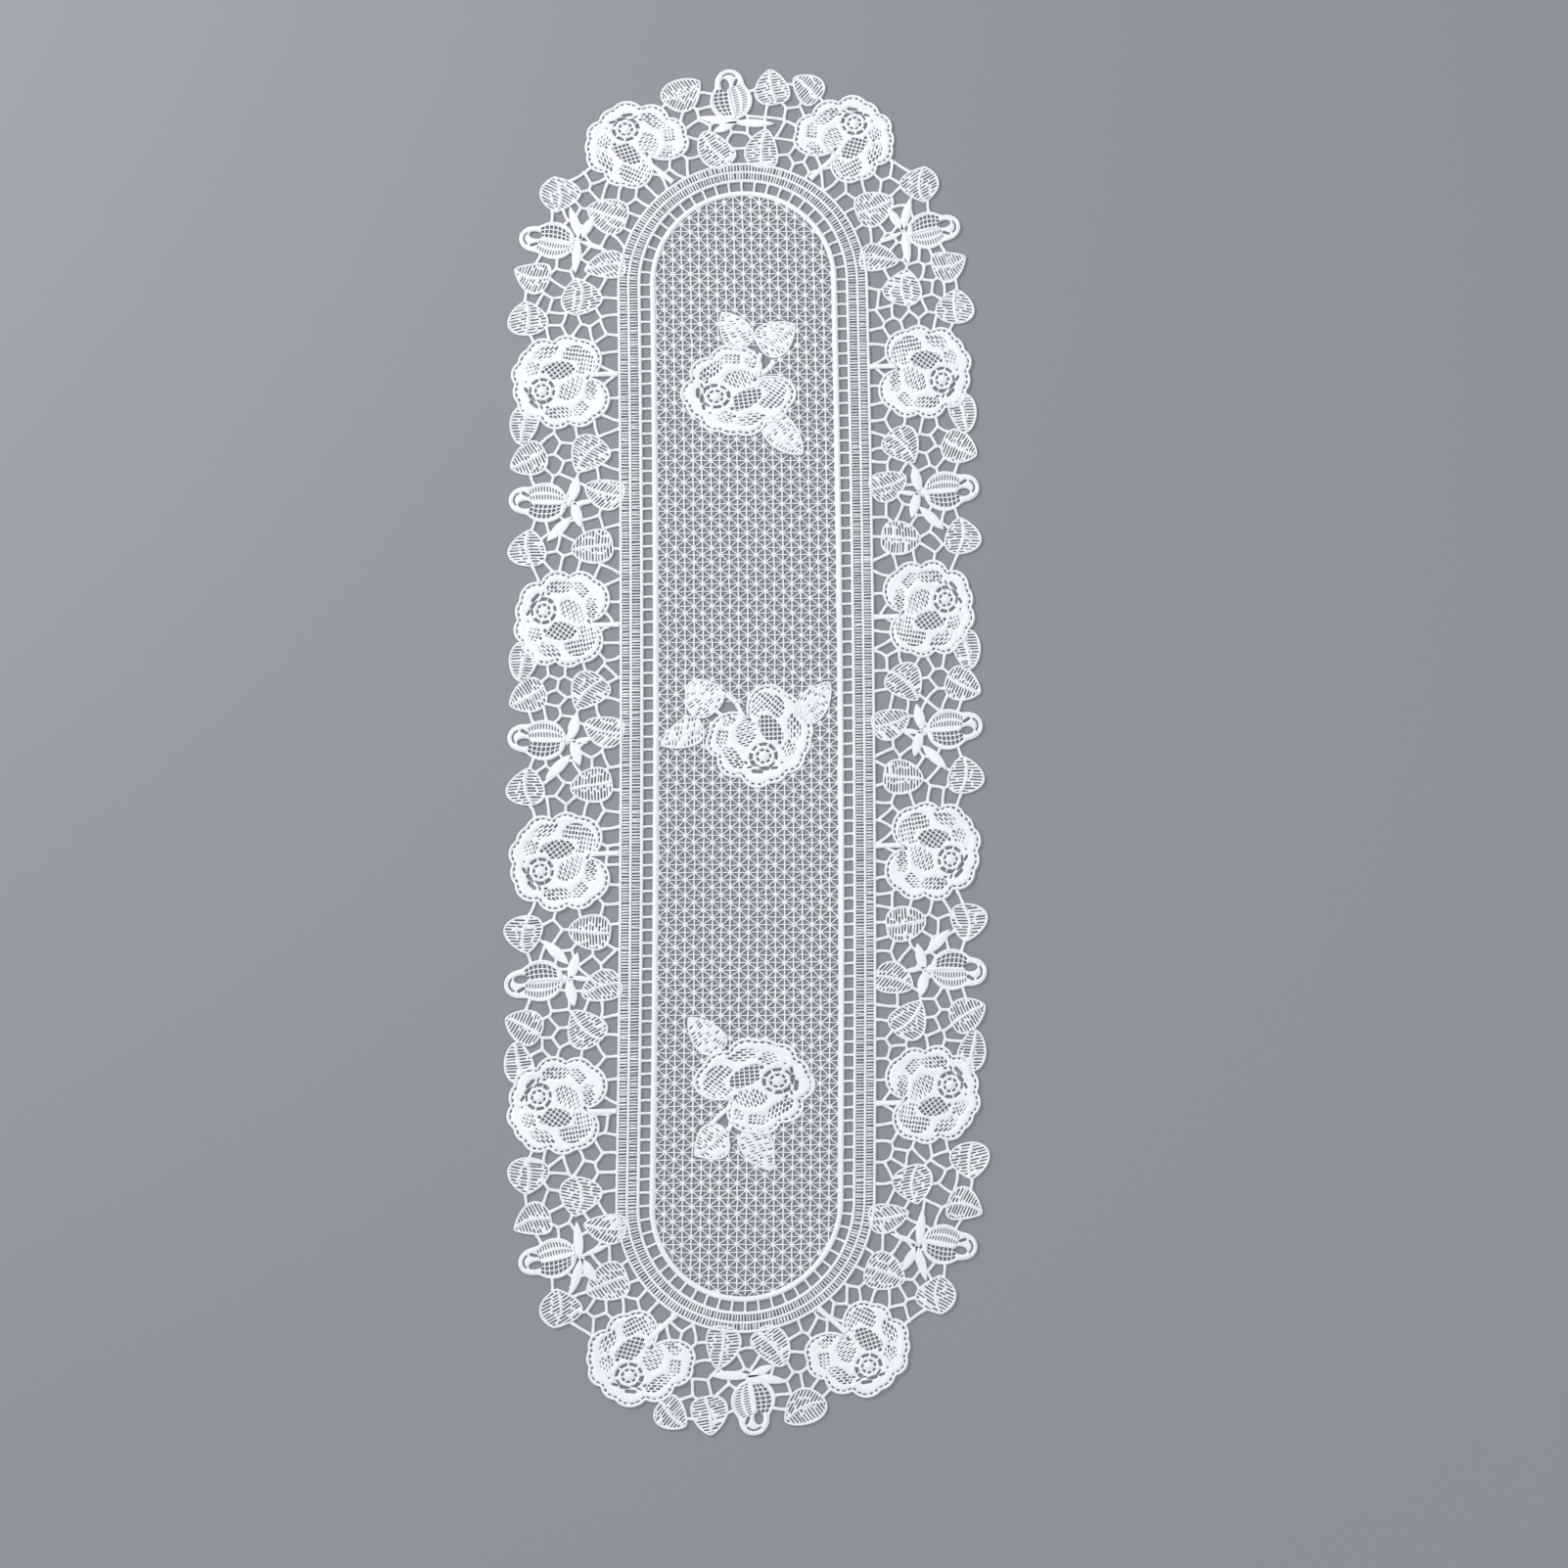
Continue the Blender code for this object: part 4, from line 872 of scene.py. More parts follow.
class Cloth:
    """Gathers threads and thin sheets into one mesh."""

    def __init__(self):
        self.points = []
        self.faces = []
        self.maps = []
        self.count = 0

    def add(self, points, parts):
        """parts holds pairs of a face array and the map places of its corners."""
        for faces, places in parts:
            self.faces.append(faces + self.count)
            self.maps.append(places)
        self.points.append(points)
        self.count += len(points)

    def cord(self, path, size, base=0.0, section=THREAD, closed=False):
        """A thread along a path; size is its width and height, for all of it or point by point."""
        path = np.asarray(path, float)
        count, sides = len(path), len(section)
        wide, high, base = (np.broadcast_to(value, count) for value in (*size, base))
        way = np.roll(path, -1, 0) - np.roll(path, 1, 0) if closed else np.gradient(path, axis=0)
        way = way / np.maximum(np.linalg.norm(way, axis=1), LEAST_LINE)[:, None]
        across = np.stack([-way[:, 1], way[:, 0]], 1)
        off = section[None, :, :1] * wide[:, None, None] * across[:, None, :]
        up = base[:, None] + section[None, :, 1] * high[:, None]
        points = np.concatenate([path[:, None, :] + off, up[:, :, None]], 2).reshape(-1, 3)
        row = np.arange(count if closed else count - 1)
        k = np.arange(sides)
        beside = (k + 1) % sides
        here, ahead = row[:, None] * sides, (row[:, None] + 1) % count * sides
        quads = np.stack([here + k, here + beside, ahead + beside, ahead + k], 2).reshape(-1, 4)
        step = np.linalg.norm(np.roll(path, -1, 0) - path, axis=1)[row]
        girth = float(np.mean(wide)) * GIRTH / sides
        around = k[:, None] * girth + girth * np.array([0, 1, 1, 0])
        along = (np.cumsum(step) - step)[:, None] + step[:, None] * np.array([0, 0, 1, 1])
        places = np.stack(np.broadcast_arrays(around[None], along[:, None]), -1).reshape(-1, 4, 2)
        parts = [(quads, places)]
        if not closed:
            caps = np.array([(0, n + 1, n) for n in range(1, sides - 1)])
            both = np.concatenate([caps, (count - 1) * sides + caps[:, ::-1]])
            parts.append((both, np.zeros((len(both), 3, 2))))
        self.add(points, parts)

    def knot(self, centre, reach, high, turn=0.0):
        """A low eight-sided dome; reach holds the two radii that take turns round it."""
        k = np.arange(8)
        t = k * math.pi / 4 + turn
        ring = rays(t) * np.where(k % 2 == 0, *reach)[:, None]
        inward, upward = KNOT_SHOULDER
        outer = np.column_stack([centre + ring, np.zeros(8)])
        inner = np.column_stack([centre + ring * inward, np.full(8, upward * high)])
        points = np.concatenate([outer, inner, [[*centre, high]]])
        after = (k + 1) % 8
        side = np.stack([k, after, after + 8, k + 8], 1)
        crown = np.stack([k + 8, after + 8, np.full(8, 16)], 1)
        floor = np.array([(0, 3, 2, 1), (0, 5, 4, 3), (0, 7, 6, 5)])
        flat = points[:, :2]
        self.add(points, [(face, flat[face]) for face in (side, crown, floor)])


def wavy(start, end, count, shake, rng):
    s = np.linspace(0.0, 1.0, count)[:, None]
    path = start + s * (end - start)
    path[1:-1] += rng.normal(0.0, shake, (count - 2, 2))
    return path


def runs_of(path, keep, least=2):
    change = np.flatnonzero(np.diff(np.concatenate([[0], keep, [0]])))
    for a, b in zip(change[::2], change[1::2]):
        if b - a >= least:
            yield path[a:b]


def ring_points(radius, way):
    """Points of a band ring at these distances round it, from the right side's lower end."""
    side = 2.0 * ARC_CENTRE
    arc = math.pi * BAND_REFERENCE
    way = np.mod(way, 2.0 * (side + arc))
    half = way >= side + arc
    rest = np.where(half, way - side - arc, way)
    angle = np.clip((rest - side) / BAND_REFERENCE, 0.0, math.pi)
    reach = band_radius(radius, angle)
    straight = rest < side
    across = np.where(straight, radius, reach * np.cos(angle))
    along = np.where(straight, rest - ARC_CENTRE, ARC_CENTRE + reach * np.sin(angle))
    sign = np.where(half, -1.0, 1.0)
    return np.stack([sign * across, sign * along], -1)


def field_motifs(shapes):
    """The outlines under which the net stops, drawn in a little."""
    rings = []
    for shape in shapes:
        if shape.row in FIELD_ROSES + FIELD_LEAVES:
            ring = outline(shape, FINE_POINTS)
            middle = ring.mean(0)
            rings.append(middle + NET_UNDER * (ring - middle))
    return rings + [oval(GAP_POINTS, gap) for gap in FIELD_GAPS]


def net(ground, stars, shapes):
    """Upright and level threads, and slanted ones that join every second crossing."""
    rng = np.random.default_rng(NET_SEED)
    rim = band_ring(NET_RIM, NET_RIM_STEPS)
    motifs = field_motifs(shapes)

    def open_parts(path):
        return runs_of(path, open_ground(path[:, :2], rim, motifs))

    columns = np.arange(-NET_COLUMNS, NET_COLUMNS + 1)
    rows = np.arange(-NET_ROWS, NET_ROWS + 1)
    u = NET_ACROSS * columns[:, None] + rng.normal(0.0, NET_SHAKE, (len(columns), len(rows)))
    v = NET_ALONG * rows[None, :] + NET_START + rng.normal(0.0, NET_SHAKE, u.shape)
    nodes = np.stack([u, v - SKEW * u], 2)
    for thread, lines in ((UPRIGHT, nodes), (LEVEL, nodes.transpose(1, 0, 2))):
        for line in lines:
            path = np.empty((2 * len(line) - 1, 2))
            path[::2] = line
            path[1::2] = 0.5 * (line[1:] + line[:-1]) + rng.normal(0.0, thread.shake, (len(line) - 1, 2))
            for run in open_parts(path):
                wide = thread.wide + rng.normal(0.0, thread.uneven, len(run))
                ground.cord(run, (wide, thread.high), thread.base)
    for i in range(len(columns)):
        for j in range(len(rows)):
            starred = (columns[i] + rows[j]) % 2 == 1
            if starred and open_ground(nodes[i, j][None], rim, motifs)[0]:
                high = STAR_HIGH + rng.normal(0.0, STAR_UNEVEN)
                stars.knot(nodes[i, j], STAR_REACH, high, math.pi / 4)
            if i == len(columns) - 1 or j == len(rows) - 1:
                continue
            ends = (nodes[i, j], nodes[i + 1, j + 1]) if starred else (nodes[i + 1, j], nodes[i, j + 1])
            path = wavy(*ends, len(SLANT.wide), SLANT.shake, rng)
            for run in open_parts(np.column_stack([path, SLANT.wide])):
                wide = run[:, 2] + rng.normal(0.0, SLANT.uneven)
                stars.cord(run[:, :2], (wide, SLANT.high), SLANT.base)


def band(ground):
    """The rails, the two rows of stitches between them and the bars of the ladder."""
    rng = np.random.default_rng(BAND_SEED)
    around = 4.0 * ARC_CENTRE + 2.0 * math.pi * BAND_REFERENCE
    count = int(around / RAIL_STEP)
    for rail in BAND_RAILS:
        path = ring_points(rail.radius, np.arange(count) * around / count)
        wide = rail.wide + rng.normal(0.0, RAIL_UNEVEN[0], count)
        high = rail.high + rng.normal(0.0, RAIL_UNEVEN[1], count)
        ground.cord(path, (wide, high), 0.0, CORD, True)
    for row in STITCH_ROWS:
        total = int(around / row.pitch)
        way = np.arange(total) * around / total + rng.normal(0.0, STITCH_SHAKE[0], total)
        low = ring_points(row.inner, way)
        high = ring_points(row.outer, way + rng.normal(0.0, STITCH_SHAKE[1], total))
        for k in range(total):
            path = np.array([low[k], 0.5 * (low[k] + high[k]), high[k]])
            wide = row.wide + rng.normal(0.0, row.spread)
            ground.cord(path, (wide, row.high + rng.normal(0.0, STITCH_UNEVEN)), STITCH_BASE)
    side = np.linspace(-ARC_CENTRE, ARC_CENTRE, round(2.0 * ARC_CENTRE / LADDER_PITCH) + 1)
    turns = math.pi * np.arange(1, END_BARS) / END_BARS
    bars = [((0.0, along), (sign, 0.0)) for sign in (1.0, -1.0) for along in side]
    for sign in (1.0, -1.0):
        for turn in turns:
            bars.append(((0.0, sign * ARC_CENTRE), (sign * math.cos(turn), sign * math.sin(turn))))
    for middle, way in np.array(bars):
        path = wavy(middle + RUNG_FROM * way, middle + RUNG_TO * way, len(RUNG_WIDE), RUNG_SHAKE, rng)
        ground.cord(path, (RUNG_WIDE, RUNG_HIGH), 0.0, CORD)


def bar_ground(ground, runs):
    """The bars of the open ground, with a small knot where they meet."""
    rng = np.random.default_rng(BAR_SEED)
    count = len(BAR_WIDTHS)
    for start, end in runs:
        length = np.linalg.norm(end - start)
        way = (end - start) / max(length, LEAST_LINE)
        path = wavy(start - BAR_REACH * way, end + BAR_REACH * way, count, BAR_SHAKE, rng)
        bow = rng.normal(0.0, BAR_BOW) * length
        path += np.outer(np.sin(np.linspace(0.0, math.pi, count)), leftward(way) * bow)
        wide = BAR_WIDTHS + rng.normal(0.0, BAR_UNEVEN[0])
        ground.cord(path, (wide, BAR_HIGH + rng.normal(0.0, BAR_UNEVEN[1])), 0.0, CORD)
    for end in np.unique(np.round(np.array(runs).reshape(-1, 2), 1), axis=0):
        high = JOINT_HIGH + rng.normal(0.0, BAR_UNEVEN[1])
        ground.knot(end, JOINT, high, rng.uniform(0.0, 0.5 * math.pi))


def span_lines(ring, angle, pitch, rng):
    """Parallel lines at this pitch, cut where they cross a closed ring."""
    turn = rotation(-angle)
    points = ring @ turn.T
    ahead = np.roll(points, -1, 0)
    low, high = points[:, 1].min(), points[:, 1].max()
    count = max(int((high - low) / pitch), 1)
    found = []
    for level in low + (np.arange(count) + 0.5) * (high - low) / count:
        y = level + rng.normal(0.0, LINE_SHAKE * pitch)
        hit = (points[:, 1] > y) != (ahead[:, 1] > y)
        a, b = points[hit], ahead[hit]
        x = np.sort(a[:, 0] + (y - a[:, 1]) * (b[:, 0] - a[:, 0]) / (b[:, 1] - a[:, 1]))
        found += [np.array([(x[k], y), (x[k + 1], y)]) @ turn for k in range(0, len(x) - 1, 2)]
    return found


def cut_up(run, weave, rng):
    """Splits one line of a leaf into slits of uneven length, some left out."""
    way = np.linalg.norm(run[-1] - run[0])
    at = rng.uniform(0.0, 0.5 * weave.gap[1])
    while at < way:
        end = min(at + rng.uniform(*weave.slit), way)
        if end - at > LEAST_SLIT and rng.random() < weave.share:
            ends = run[0] + np.outer((at, end), run[-1] - run[0]) / way
            ends[1] += rng.normal(0.0, SLIT_SHAKE, 2)
            yield slit_ring(*ends, rng.uniform(*weave.wide))
        at = end + rng.uniform(*weave.gap)


def leaf_slits(shape, turns, rng):
    """The slits on both sides of a leaf's midrib, clear of it and of the rim."""
    weave = EDGE_WEAVE if shape.row.edge else SIDE_WEAVE
    if shape.row in FIELD_LEAVES:
        weave = FIELD_WEAVE
    rim, beside = LEAF_KEEP
    long, wide, *form = shape.size
    inner = leaf_outline(LEAF_POINTS[0], long - 2.0 * rim, wide - 2.0 * rim, *form)
    found = []
    for side, turn in zip((-1.0, 1.0), turns):
        for start, end in span_lines(inner, turn, weave.pitch, rng):
            count = max(int(np.linalg.norm(end - start) / RUN_STEP), 2)
            path = start + np.outer(np.linspace(0.0, 1.0, count), end - start)
            share = np.clip(path[:, 0] / long + LEAF_MIDDLE, 0.0, 1.0)
            free = side * (path[:, 1] - leaf_bend(share, shape.row.bend)) > beside
            for run in runs_of(path, free, 4):
                found += cut_up(run, weave, rng)
    return found


def leaf_height(points, shape):
    """A low dome between the midrib and the rim."""
    long, wide, blunt, taper, bend = shape.size
    share = np.clip(points[:, 0] / long + LEAF_MIDDLE, *LEAF_SHARE)
    half = 0.5 * wide * leaf_swell(share, blunt, taper)
    off = abs(points[:, 1] - leaf_bend(share, bend)) / (half + LEAF_SPARE)
    low, dome, ripple = LEAF_RELIEF
    waves = ripple * np.sin(LEAF_WAVES[0] * points[:, 0] + LEAF_WAVES[1] * points[:, 1])
    return low + dome * np.sin(math.pi * np.clip(off, 0.0, 1.0)) + waves


def leaf(leaves, shape, rng):
    """One leaf: a slit sheet whose sides are worked each in its own way, a rim and a midrib."""
    long, wide, *form = shape.size
    turns = np.array([shape.row.left, shape.row.right]) - shape.row.turn
    inset = LEAF_INSET[0]
    rim = leaf_outline(LEAF_POINTS[2], long - inset, wide - inset, *form)
    holes = [counterclockwise(ring) for ring in leaf_slits(shape, turns, rng)]
    template = sheet(counterclockwise(rim), holes, LEAF_STEP, lambda points: leaf_height(points, shape))
    flat, faces = template[0][:, :2], template[1]
    left = flat[faces].mean(1)[:, 1] < 0.0
    places = np.empty((len(faces), 3, 2))
    for part, turn in zip((left, ~left), turns):
        places[part] = satin(flat[faces[part]], turn)
    add_sheet(leaves, shape, template, places)
    inset = LEAF_INSET[1]
    path = leaf_outline(LEAF_POINTS[1], long - inset, wide - inset, *form)
    leaves.cord(placed(shape, path), LEAF_CORD, 0.0, CORD, True)
    s = np.linspace(*VEIN_SHARE, VEIN_POINTS)
    path = np.column_stack([(s - LEAF_MIDDLE) * long, leaf_bend(s, shape.row.bend)])
    leaves.cord(placed(shape, path), vein_size(LEAF_VEIN, s), 0.0, CORD)


def vein_size(vein, share):
    """A vein's widths, less towards its tip, and its height."""
    wide, high, least = vein
    return wide * (VEIN_FOOT - least * share), high


def satin(points, turn):
    """Map places whose bands follow threads laid this way."""
    along = points @ rotation(-turn).T
    return along[..., ::-1] * (SATIN_FINE, SATIN_LONG)


def bud_reach(x):
    """Half the width of the bud's body this far along it."""
    return BUD_BODY.wide * np.sqrt(np.clip(1.0 - ((x - BUD_BODY.x) / BUD_BODY.long) ** 2, 0.0, 1.0))


def bud_holes():
    radius, first, last, wide = LOOP_SLIT
    outer = arc(*LOOP_MIDDLE, radius + 0.5 * wide, first, last, LOOP_POINTS)
    spare = LOOP_TAPER
    inner = arc(*LOOP_MIDDLE, radius - 0.5 * wide, first + spare, last - spare, LOOP_POINTS)
    found = [oval(EYE_POINTS, LOOP_EYE), np.concatenate([outer, inner[::-1]]), slit_ring(*LOOP_COMMA)]
    beside = BUD_VEIN_CLEAR * BUD_VEIN[0]
    for x in np.arange(*BUD_SLITS):
        reach = bud_reach(x) - BUD_RIM - beside
        for column in BUD_COLUMNS:
            if (column[1] - column[0]) * reach > BUD_LEAST[0]:
                y = -beside - np.array(column) * reach
                found.append(slit_ring(*np.column_stack([x - BUD_LEAN * y, y]), BUD_SLIT_WIDE))
    for x in np.arange(*BUD_GRID):
        ends = np.array([x, x + BUD_GRID[2] - BUD_THREAD])
        reach = (bud_reach(ends) - BUD_RIM - beside) / BUD_GRID_ROWS
        if reach.min() > BUD_LEAST[1]:
            for row in range(BUD_GRID_ROWS):
                low = beside + row * reach
                high = low + reach - BUD_THREAD
                y = np.array([low[0], low[1], high[1], high[0]])
                found.append(np.column_stack([ends[[0, 1, 1, 0]] + BUD_LEAN * y, y]))
    return [counterclockwise(ring) for ring in found]


def ridge_lift(off, ridge):
    """The height of a rounded ridge this far from an outline or a line."""
    at, wide, high = ridge
    return high * np.exp(-(((off - at) / wide) ** 2))


def bud_height(points):
    """A satin rim round the bud's body and loop, and a swelling on each side of its vein."""
    rims = [bud_outline(BUD_POINTS[0]), bud_holes()[0]]
    near = [[off_line(points, ring[k - 1], ring[k]) for k in range(len(ring))] for ring in rims]
    off = np.min([np.min(part, 0) for part in near], 0)
    swell, fine = BUD_SWELL
    return BUD_LOW + ridge_lift(off, BUD_RIDGE) + swell * np.sin(fine * np.abs(points[:, 1]))


def bud_template():
    rim = counterclockwise(bud_outline(BUD_POINTS[2], BUD_INSET[0]))
    template = sheet(rim, bud_holes(), BUD_STEP, bud_height)
    return template, satin(template[0][:, :2][template[1]], 90.0)


def bud(buds, shape, template, places):
    """One bud: its sheet, the satin cord round it, the knot at its foot and its vein."""
    add_sheet(buds, shape, template, places)
    buds.cord(placed(shape, bud_outline(BUD_POINTS[1], BUD_INSET[1])), BUD_CORD, 0.0, CORD, True)
    at, *reach, high = HUB
    buds.knot(placed(shape, np.array([[at, 0.0]]))[0], reach, high)
    s = np.linspace(0.0, 1.0, VEIN_POINTS)
    first, length, bow, bend = BUD_VEIN_WAY
    vein = np.column_stack([first + length * s, bow * np.sin(bend * s)])
    buds.cord(placed(shape, vein), vein_size(BUD_VEIN, s), 0.0, CORD)


def arc(x, y, radius, first, last, count):
    return rays(np.radians(np.linspace(first, last, count))) * radius + (x, y)


def slit_ring(start, end, wide):
    """The outline of one slit, pointed at both ends, or with four corners where it is fine."""
    start, end = np.asarray(start), np.asarray(end)
    way = end - start
    across = leftward(way) * 0.5 * wide / np.linalg.norm(way)
    a, b = (start + share * way for share in SLIT_FULL)
    if wide < FINE_SLIT:
        return np.array([start - FINE_BLUNT * across, b - across, end + FINE_BLUNT * across, a + across])
    return np.array([start, a - across, b - across, end, b + across, a + across])


def in_patch(point, patch, spare=0.0):
    x, y = rotation(-patch.turn) @ (point - np.array([patch.x, patch.y]))
    return (x / (patch.long + spare)) ** 2 + (y / (patch.wide + spare)) ** 2 < 1.0


def clipped(ring, border):
    """The part of a ring inside a convex border that runs counterclockwise."""
    for k in range(len(border)):
        off = (ring - border[k - 1]) @ leftward(border[k] - border[k - 1])
        kept = []
        for j in range(len(ring)):
            if off[j - 1] * off[j] < 0.0:
                kept.append(ring[j - 1] + (ring[j] - ring[j - 1]) * off[j - 1] / (off[j - 1] - off[j]))
            if off[j] > 0.0:
                kept.append(ring[j])
        if len(kept) < 3:
            return None
        ring = np.array(kept)
    return ring


def ring_area(ring):
    x, y = ring.T
    return 0.5 * abs(x @ np.roll(y, -1) - y @ np.roll(x, -1))


def patch_slits(patch, others, rng):
    """The slits of one patch of open work, wider towards its dark side and clear of other patches."""
    turn = rotation(patch.way)
    dark = rotation(patch.dark) @ np.array([1.0, 0.0]) * PATCH_UNEVEN / max(patch.long, patch.wide)
    border = oval(PATCH_BORDER, patch)
    grid = patch.open > GRID_OPEN
    half = turn @ np.array([0.5 * patch.slit, 0.0])
    side = turn @ np.array([0.0, 0.5 * patch.open])
    found = []
    for j in range(-PATCH_ROWS, PATCH_ROWS + 1):
        slide = 0.0 if grid else rng.normal(0.0, PATCH_SHAKE)
        for i in range(-PATCH_STEPS, PATCH_STEPS + 1):
            shift = patch.stagger * patch.step * (j % 2) + slide
            at = turn @ np.array([i * patch.step + shift, j * patch.row])
            middle = at + (patch.x, patch.y)
            wide = patch.open * (1.0 + dark @ at + rng.normal(0.0, PATCH_SHAKE))
            share = rng.uniform(*PATCH_SHARE)
            if not in_patch(middle, patch, 0.5 * patch.slit):
                continue
            if grid:
                ring = middle + np.array([-half - side, half - side, half + side, -half + side])
            else:
                ring = slit_ring(middle - half, middle + half * share, wide)
            ring = clipped(ring, border)
            if ring is None or ring_area(ring) < LEAST_OPEN:
                continue
            if not any(in_patch(point, other, PATCH_LANE) for other in others for point in ring):
                found.append(ring)
    return found


def ring_slits(ring):
    """The curved slits round the rose's eye, evenly spread over one arc."""
    half = 0.5 * math.degrees(ring.slit / ring.radius)
    step = ((ring.last - ring.first - 1.0) % 360.0 + 1.0) / ring.count
    for k in range(ring.count):
        angle = ring.first + (k + 0.5) * step
        sides = []
        for across, reach in ((0.5, half), (-0.5, RING_TAPER * half)):
            radius = ring.radius + across * ring.wide
            sides.append(arc(ring.x, ring.y, radius, angle - reach, angle + reach, RING_POINTS))
        yield np.concatenate([sides[0], sides[1][::-1]])


def rose_slits(notch):
    """All slits of a rose whose stem's notch is this deep, clear of its rim, and the rim's dashes."""
    rng = np.random.default_rng(PATCH_SEED)
    found = []
    for n, patch in enumerate(ROSE_PATCHES):
        found += patch_slits(patch, ROSE_PATCHES[:n] + (EYE_CLEAR,), rng)
    for slit in ROSE_SLITS:
        found.append(slit_ring((slit.x0, slit.y0), (slit.x1, slit.y1), slit.wide))
    for ring in ROSE_RINGS:
        found += ring_slits(ring)
    clear = rose_outline(ROSE_POINTS[1], SLIT_CLEAR, *notch)
    found = [ring for ring in found if inside(ring, clear).all()]
    length, points_at = round_ring(rose_outline(ROSE_POINTS[2], DASH_IN, *notch))
    count = int(length / DASH_PITCH)
    for k in range(count):
        middle = (k + 0.5 + rng.normal(0.0, DASH_SHAKE)) * length / count
        at = middle + 0.5 * rng.uniform(*DASH_LONG) * np.array([-1.0, 1.0])
        found.append(slit_ring(*points_at(at), rng.uniform(*DASH_WIDE)))
    return [counterclockwise(ring) for ring in found]


def rose_height(points, notch):
    """Height of the rose's upper face over the floor, from its petals' rims and ridges."""
    angle = np.arctan2(points[:, 1], points[:, 0])
    off = petal_reach(angle, *notch) - np.hypot(points[:, 0], points[:, 1])
    lift = ridge_lift(off, RIM_RIDGE) - ridge_lift(off, RIM_GROOVE)
    for ridge in ROSE_RIDGES:
        away = points - (ridge.x, ridge.y)
        angle = np.mod(np.degrees(np.arctan2(away[:, 1], away[:, 0])) - ridge.first, 360.0)
        span = ridge.last - ridge.first
        beyond = np.where(angle > span, np.minimum(angle - span, 360.0 - angle), 0.0)
        across = np.hypot(np.hypot(*away.T) - ridge.radius, np.radians(beyond) * ridge.radius)
        lift = np.maximum(lift, ridge_lift(across, (0.0, ridge.wide, ridge.high)))
    reach, high = EYE_DOME
    away = np.hypot(points[:, 0] - EYE_CLEAR.x, points[:, 1] - EYE_CLEAR.y)
    lift = np.maximum(lift, high * np.sqrt(np.clip(1.0 - (away / reach) ** 2, 0.0, 1.0)))
    return SHEET_LOW + lift


def rose_map(points, faces, notch):
    """Map places that run along the rim of each petal, or round the rose's eye."""
    middles = points[faces].mean(1)
    angle = np.arctan2(middles[:, 1], middles[:, 0])
    near_rim = petal_reach(angle, *notch) - np.hypot(*middles.T) < RIM_RIDGE[0] + RIM_RIDGE[1]
    origin = np.where(near_rim[:, None], 0.0, np.array([[EYE_CLEAR.x, EYE_CLEAR.y]]))
    away = points[faces] - origin[:, None, :]
    turn = np.arctan2(away[..., 1], away[..., 0])
    first = turn[:, :1]
    turn = first + np.mod(turn - first + math.pi, 2.0 * math.pi) - math.pi
    scale = np.where(near_rim, *MAP_TURN)[:, None]
    return np.stack([np.hypot(away[..., 0], away[..., 1]), turn * scale], 2)


def spread_over(ring, step):
    """Points on a triangular lattice inside a ring."""
    low, high = ring.min(0), ring.max(0)
    points = []
    for k, y in enumerate(np.arange(low[1], high[1], step * LATTICE_ROW)):
        x = np.arange(low[0] + 0.5 * step * (k % 2), high[0], step)
        points.append(np.column_stack([x, np.full(len(x), y)]))
    points = np.concatenate(points)
    return points[inside(points, ring)]


def triangles_of(points, edges, outline, holes):
    """Triangles of the cloth between these points, with the points' places and first owners."""
    result = delaunay_2d_cdt([Vector(point) for point in points], edges, [], 0, MERGE)
    place = np.array([tuple(point) for point in result[0]])
    faces = cloth_faces(place, np.array(result[2]), outline, holes)
    return place, faces, result[3]


def sheet(outline, holes, step, height):
    """A closed thin sheet: its outline and holes cut straight through, its upper face in relief."""
    extra = spread_over(outline, step)
    clear = np.ones(len(extra), bool)
    for ring in [outline] + holes:
        low, high = ring.min(0) - step, ring.max(0) + step
        index = np.flatnonzero(((extra > low) & (extra < high)).all(1) & clear)
        for k in range(len(ring)):
            near = off_line(extra[index], ring[k - 1], ring[k]) < RIM_SPARE * step
            clear[index[near]] = False
        clear[index[inside(extra[index], ring) & (ring is not outline)]] = False
    edges = []
    first = 0
    for ring in [outline] + holes:
        edges += [(first + k, first + (k + 1) % len(ring)) for k in range(len(ring))]
        first += len(ring)
    place, top, _ = triangles_of(np.concatenate([outline, *holes, extra[clear]]), edges, outline, holes)
    sides = rim_sides(top)
    rim = np.unique(sides)
    number = np.full(len(place), -1)
    number[rim] = np.arange(len(rim))
    edges = [tuple(pair) for pair in number[sides]]
    _, low, owners = triangles_of(place[rim], edges, outline, holes)
    under = np.array([owner[0] for owner in owners])[low][:, ::-1] + len(place)
    floor = number[sides] + len(place)
    walls = np.column_stack([floor, sides[:, ::-1]])
    high = height(place)
    high[rim] -= RIM_DROP
    below = np.column_stack([place[rim], np.zeros(len(rim))])
    return np.concatenate([np.column_stack([place, high]), below]), np.concatenate([top, under]), walls


def cloth_faces(place, faces, outline, holes):
    middles = place[faces].mean(1)
    cloth = inside(middles, outline)
    for ring in holes:
        cloth &= ~inside(middles, ring)
    faces = faces[cloth]
    a, b, c = (place[faces[:, k]] for k in range(3))
    area = (b - a)[:, 0] * (c - a)[:, 1] - (b - a)[:, 1] * (c - a)[:, 0]
    faces[area < 0.0] = faces[area < 0.0][:, ::-1]
    return faces[abs(area) > LEAST_LINE]


def rim_sides(faces):
    """The sides of these triangles that only one of them has, with the sheet on their left."""
    sides = np.concatenate([faces[:, [0, 1]], faces[:, [1, 2]], faces[:, [2, 0]]])
    known = {tuple(pair) for pair in sides}
    return np.array([pair for pair in sides if (pair[1], pair[0]) not in known])


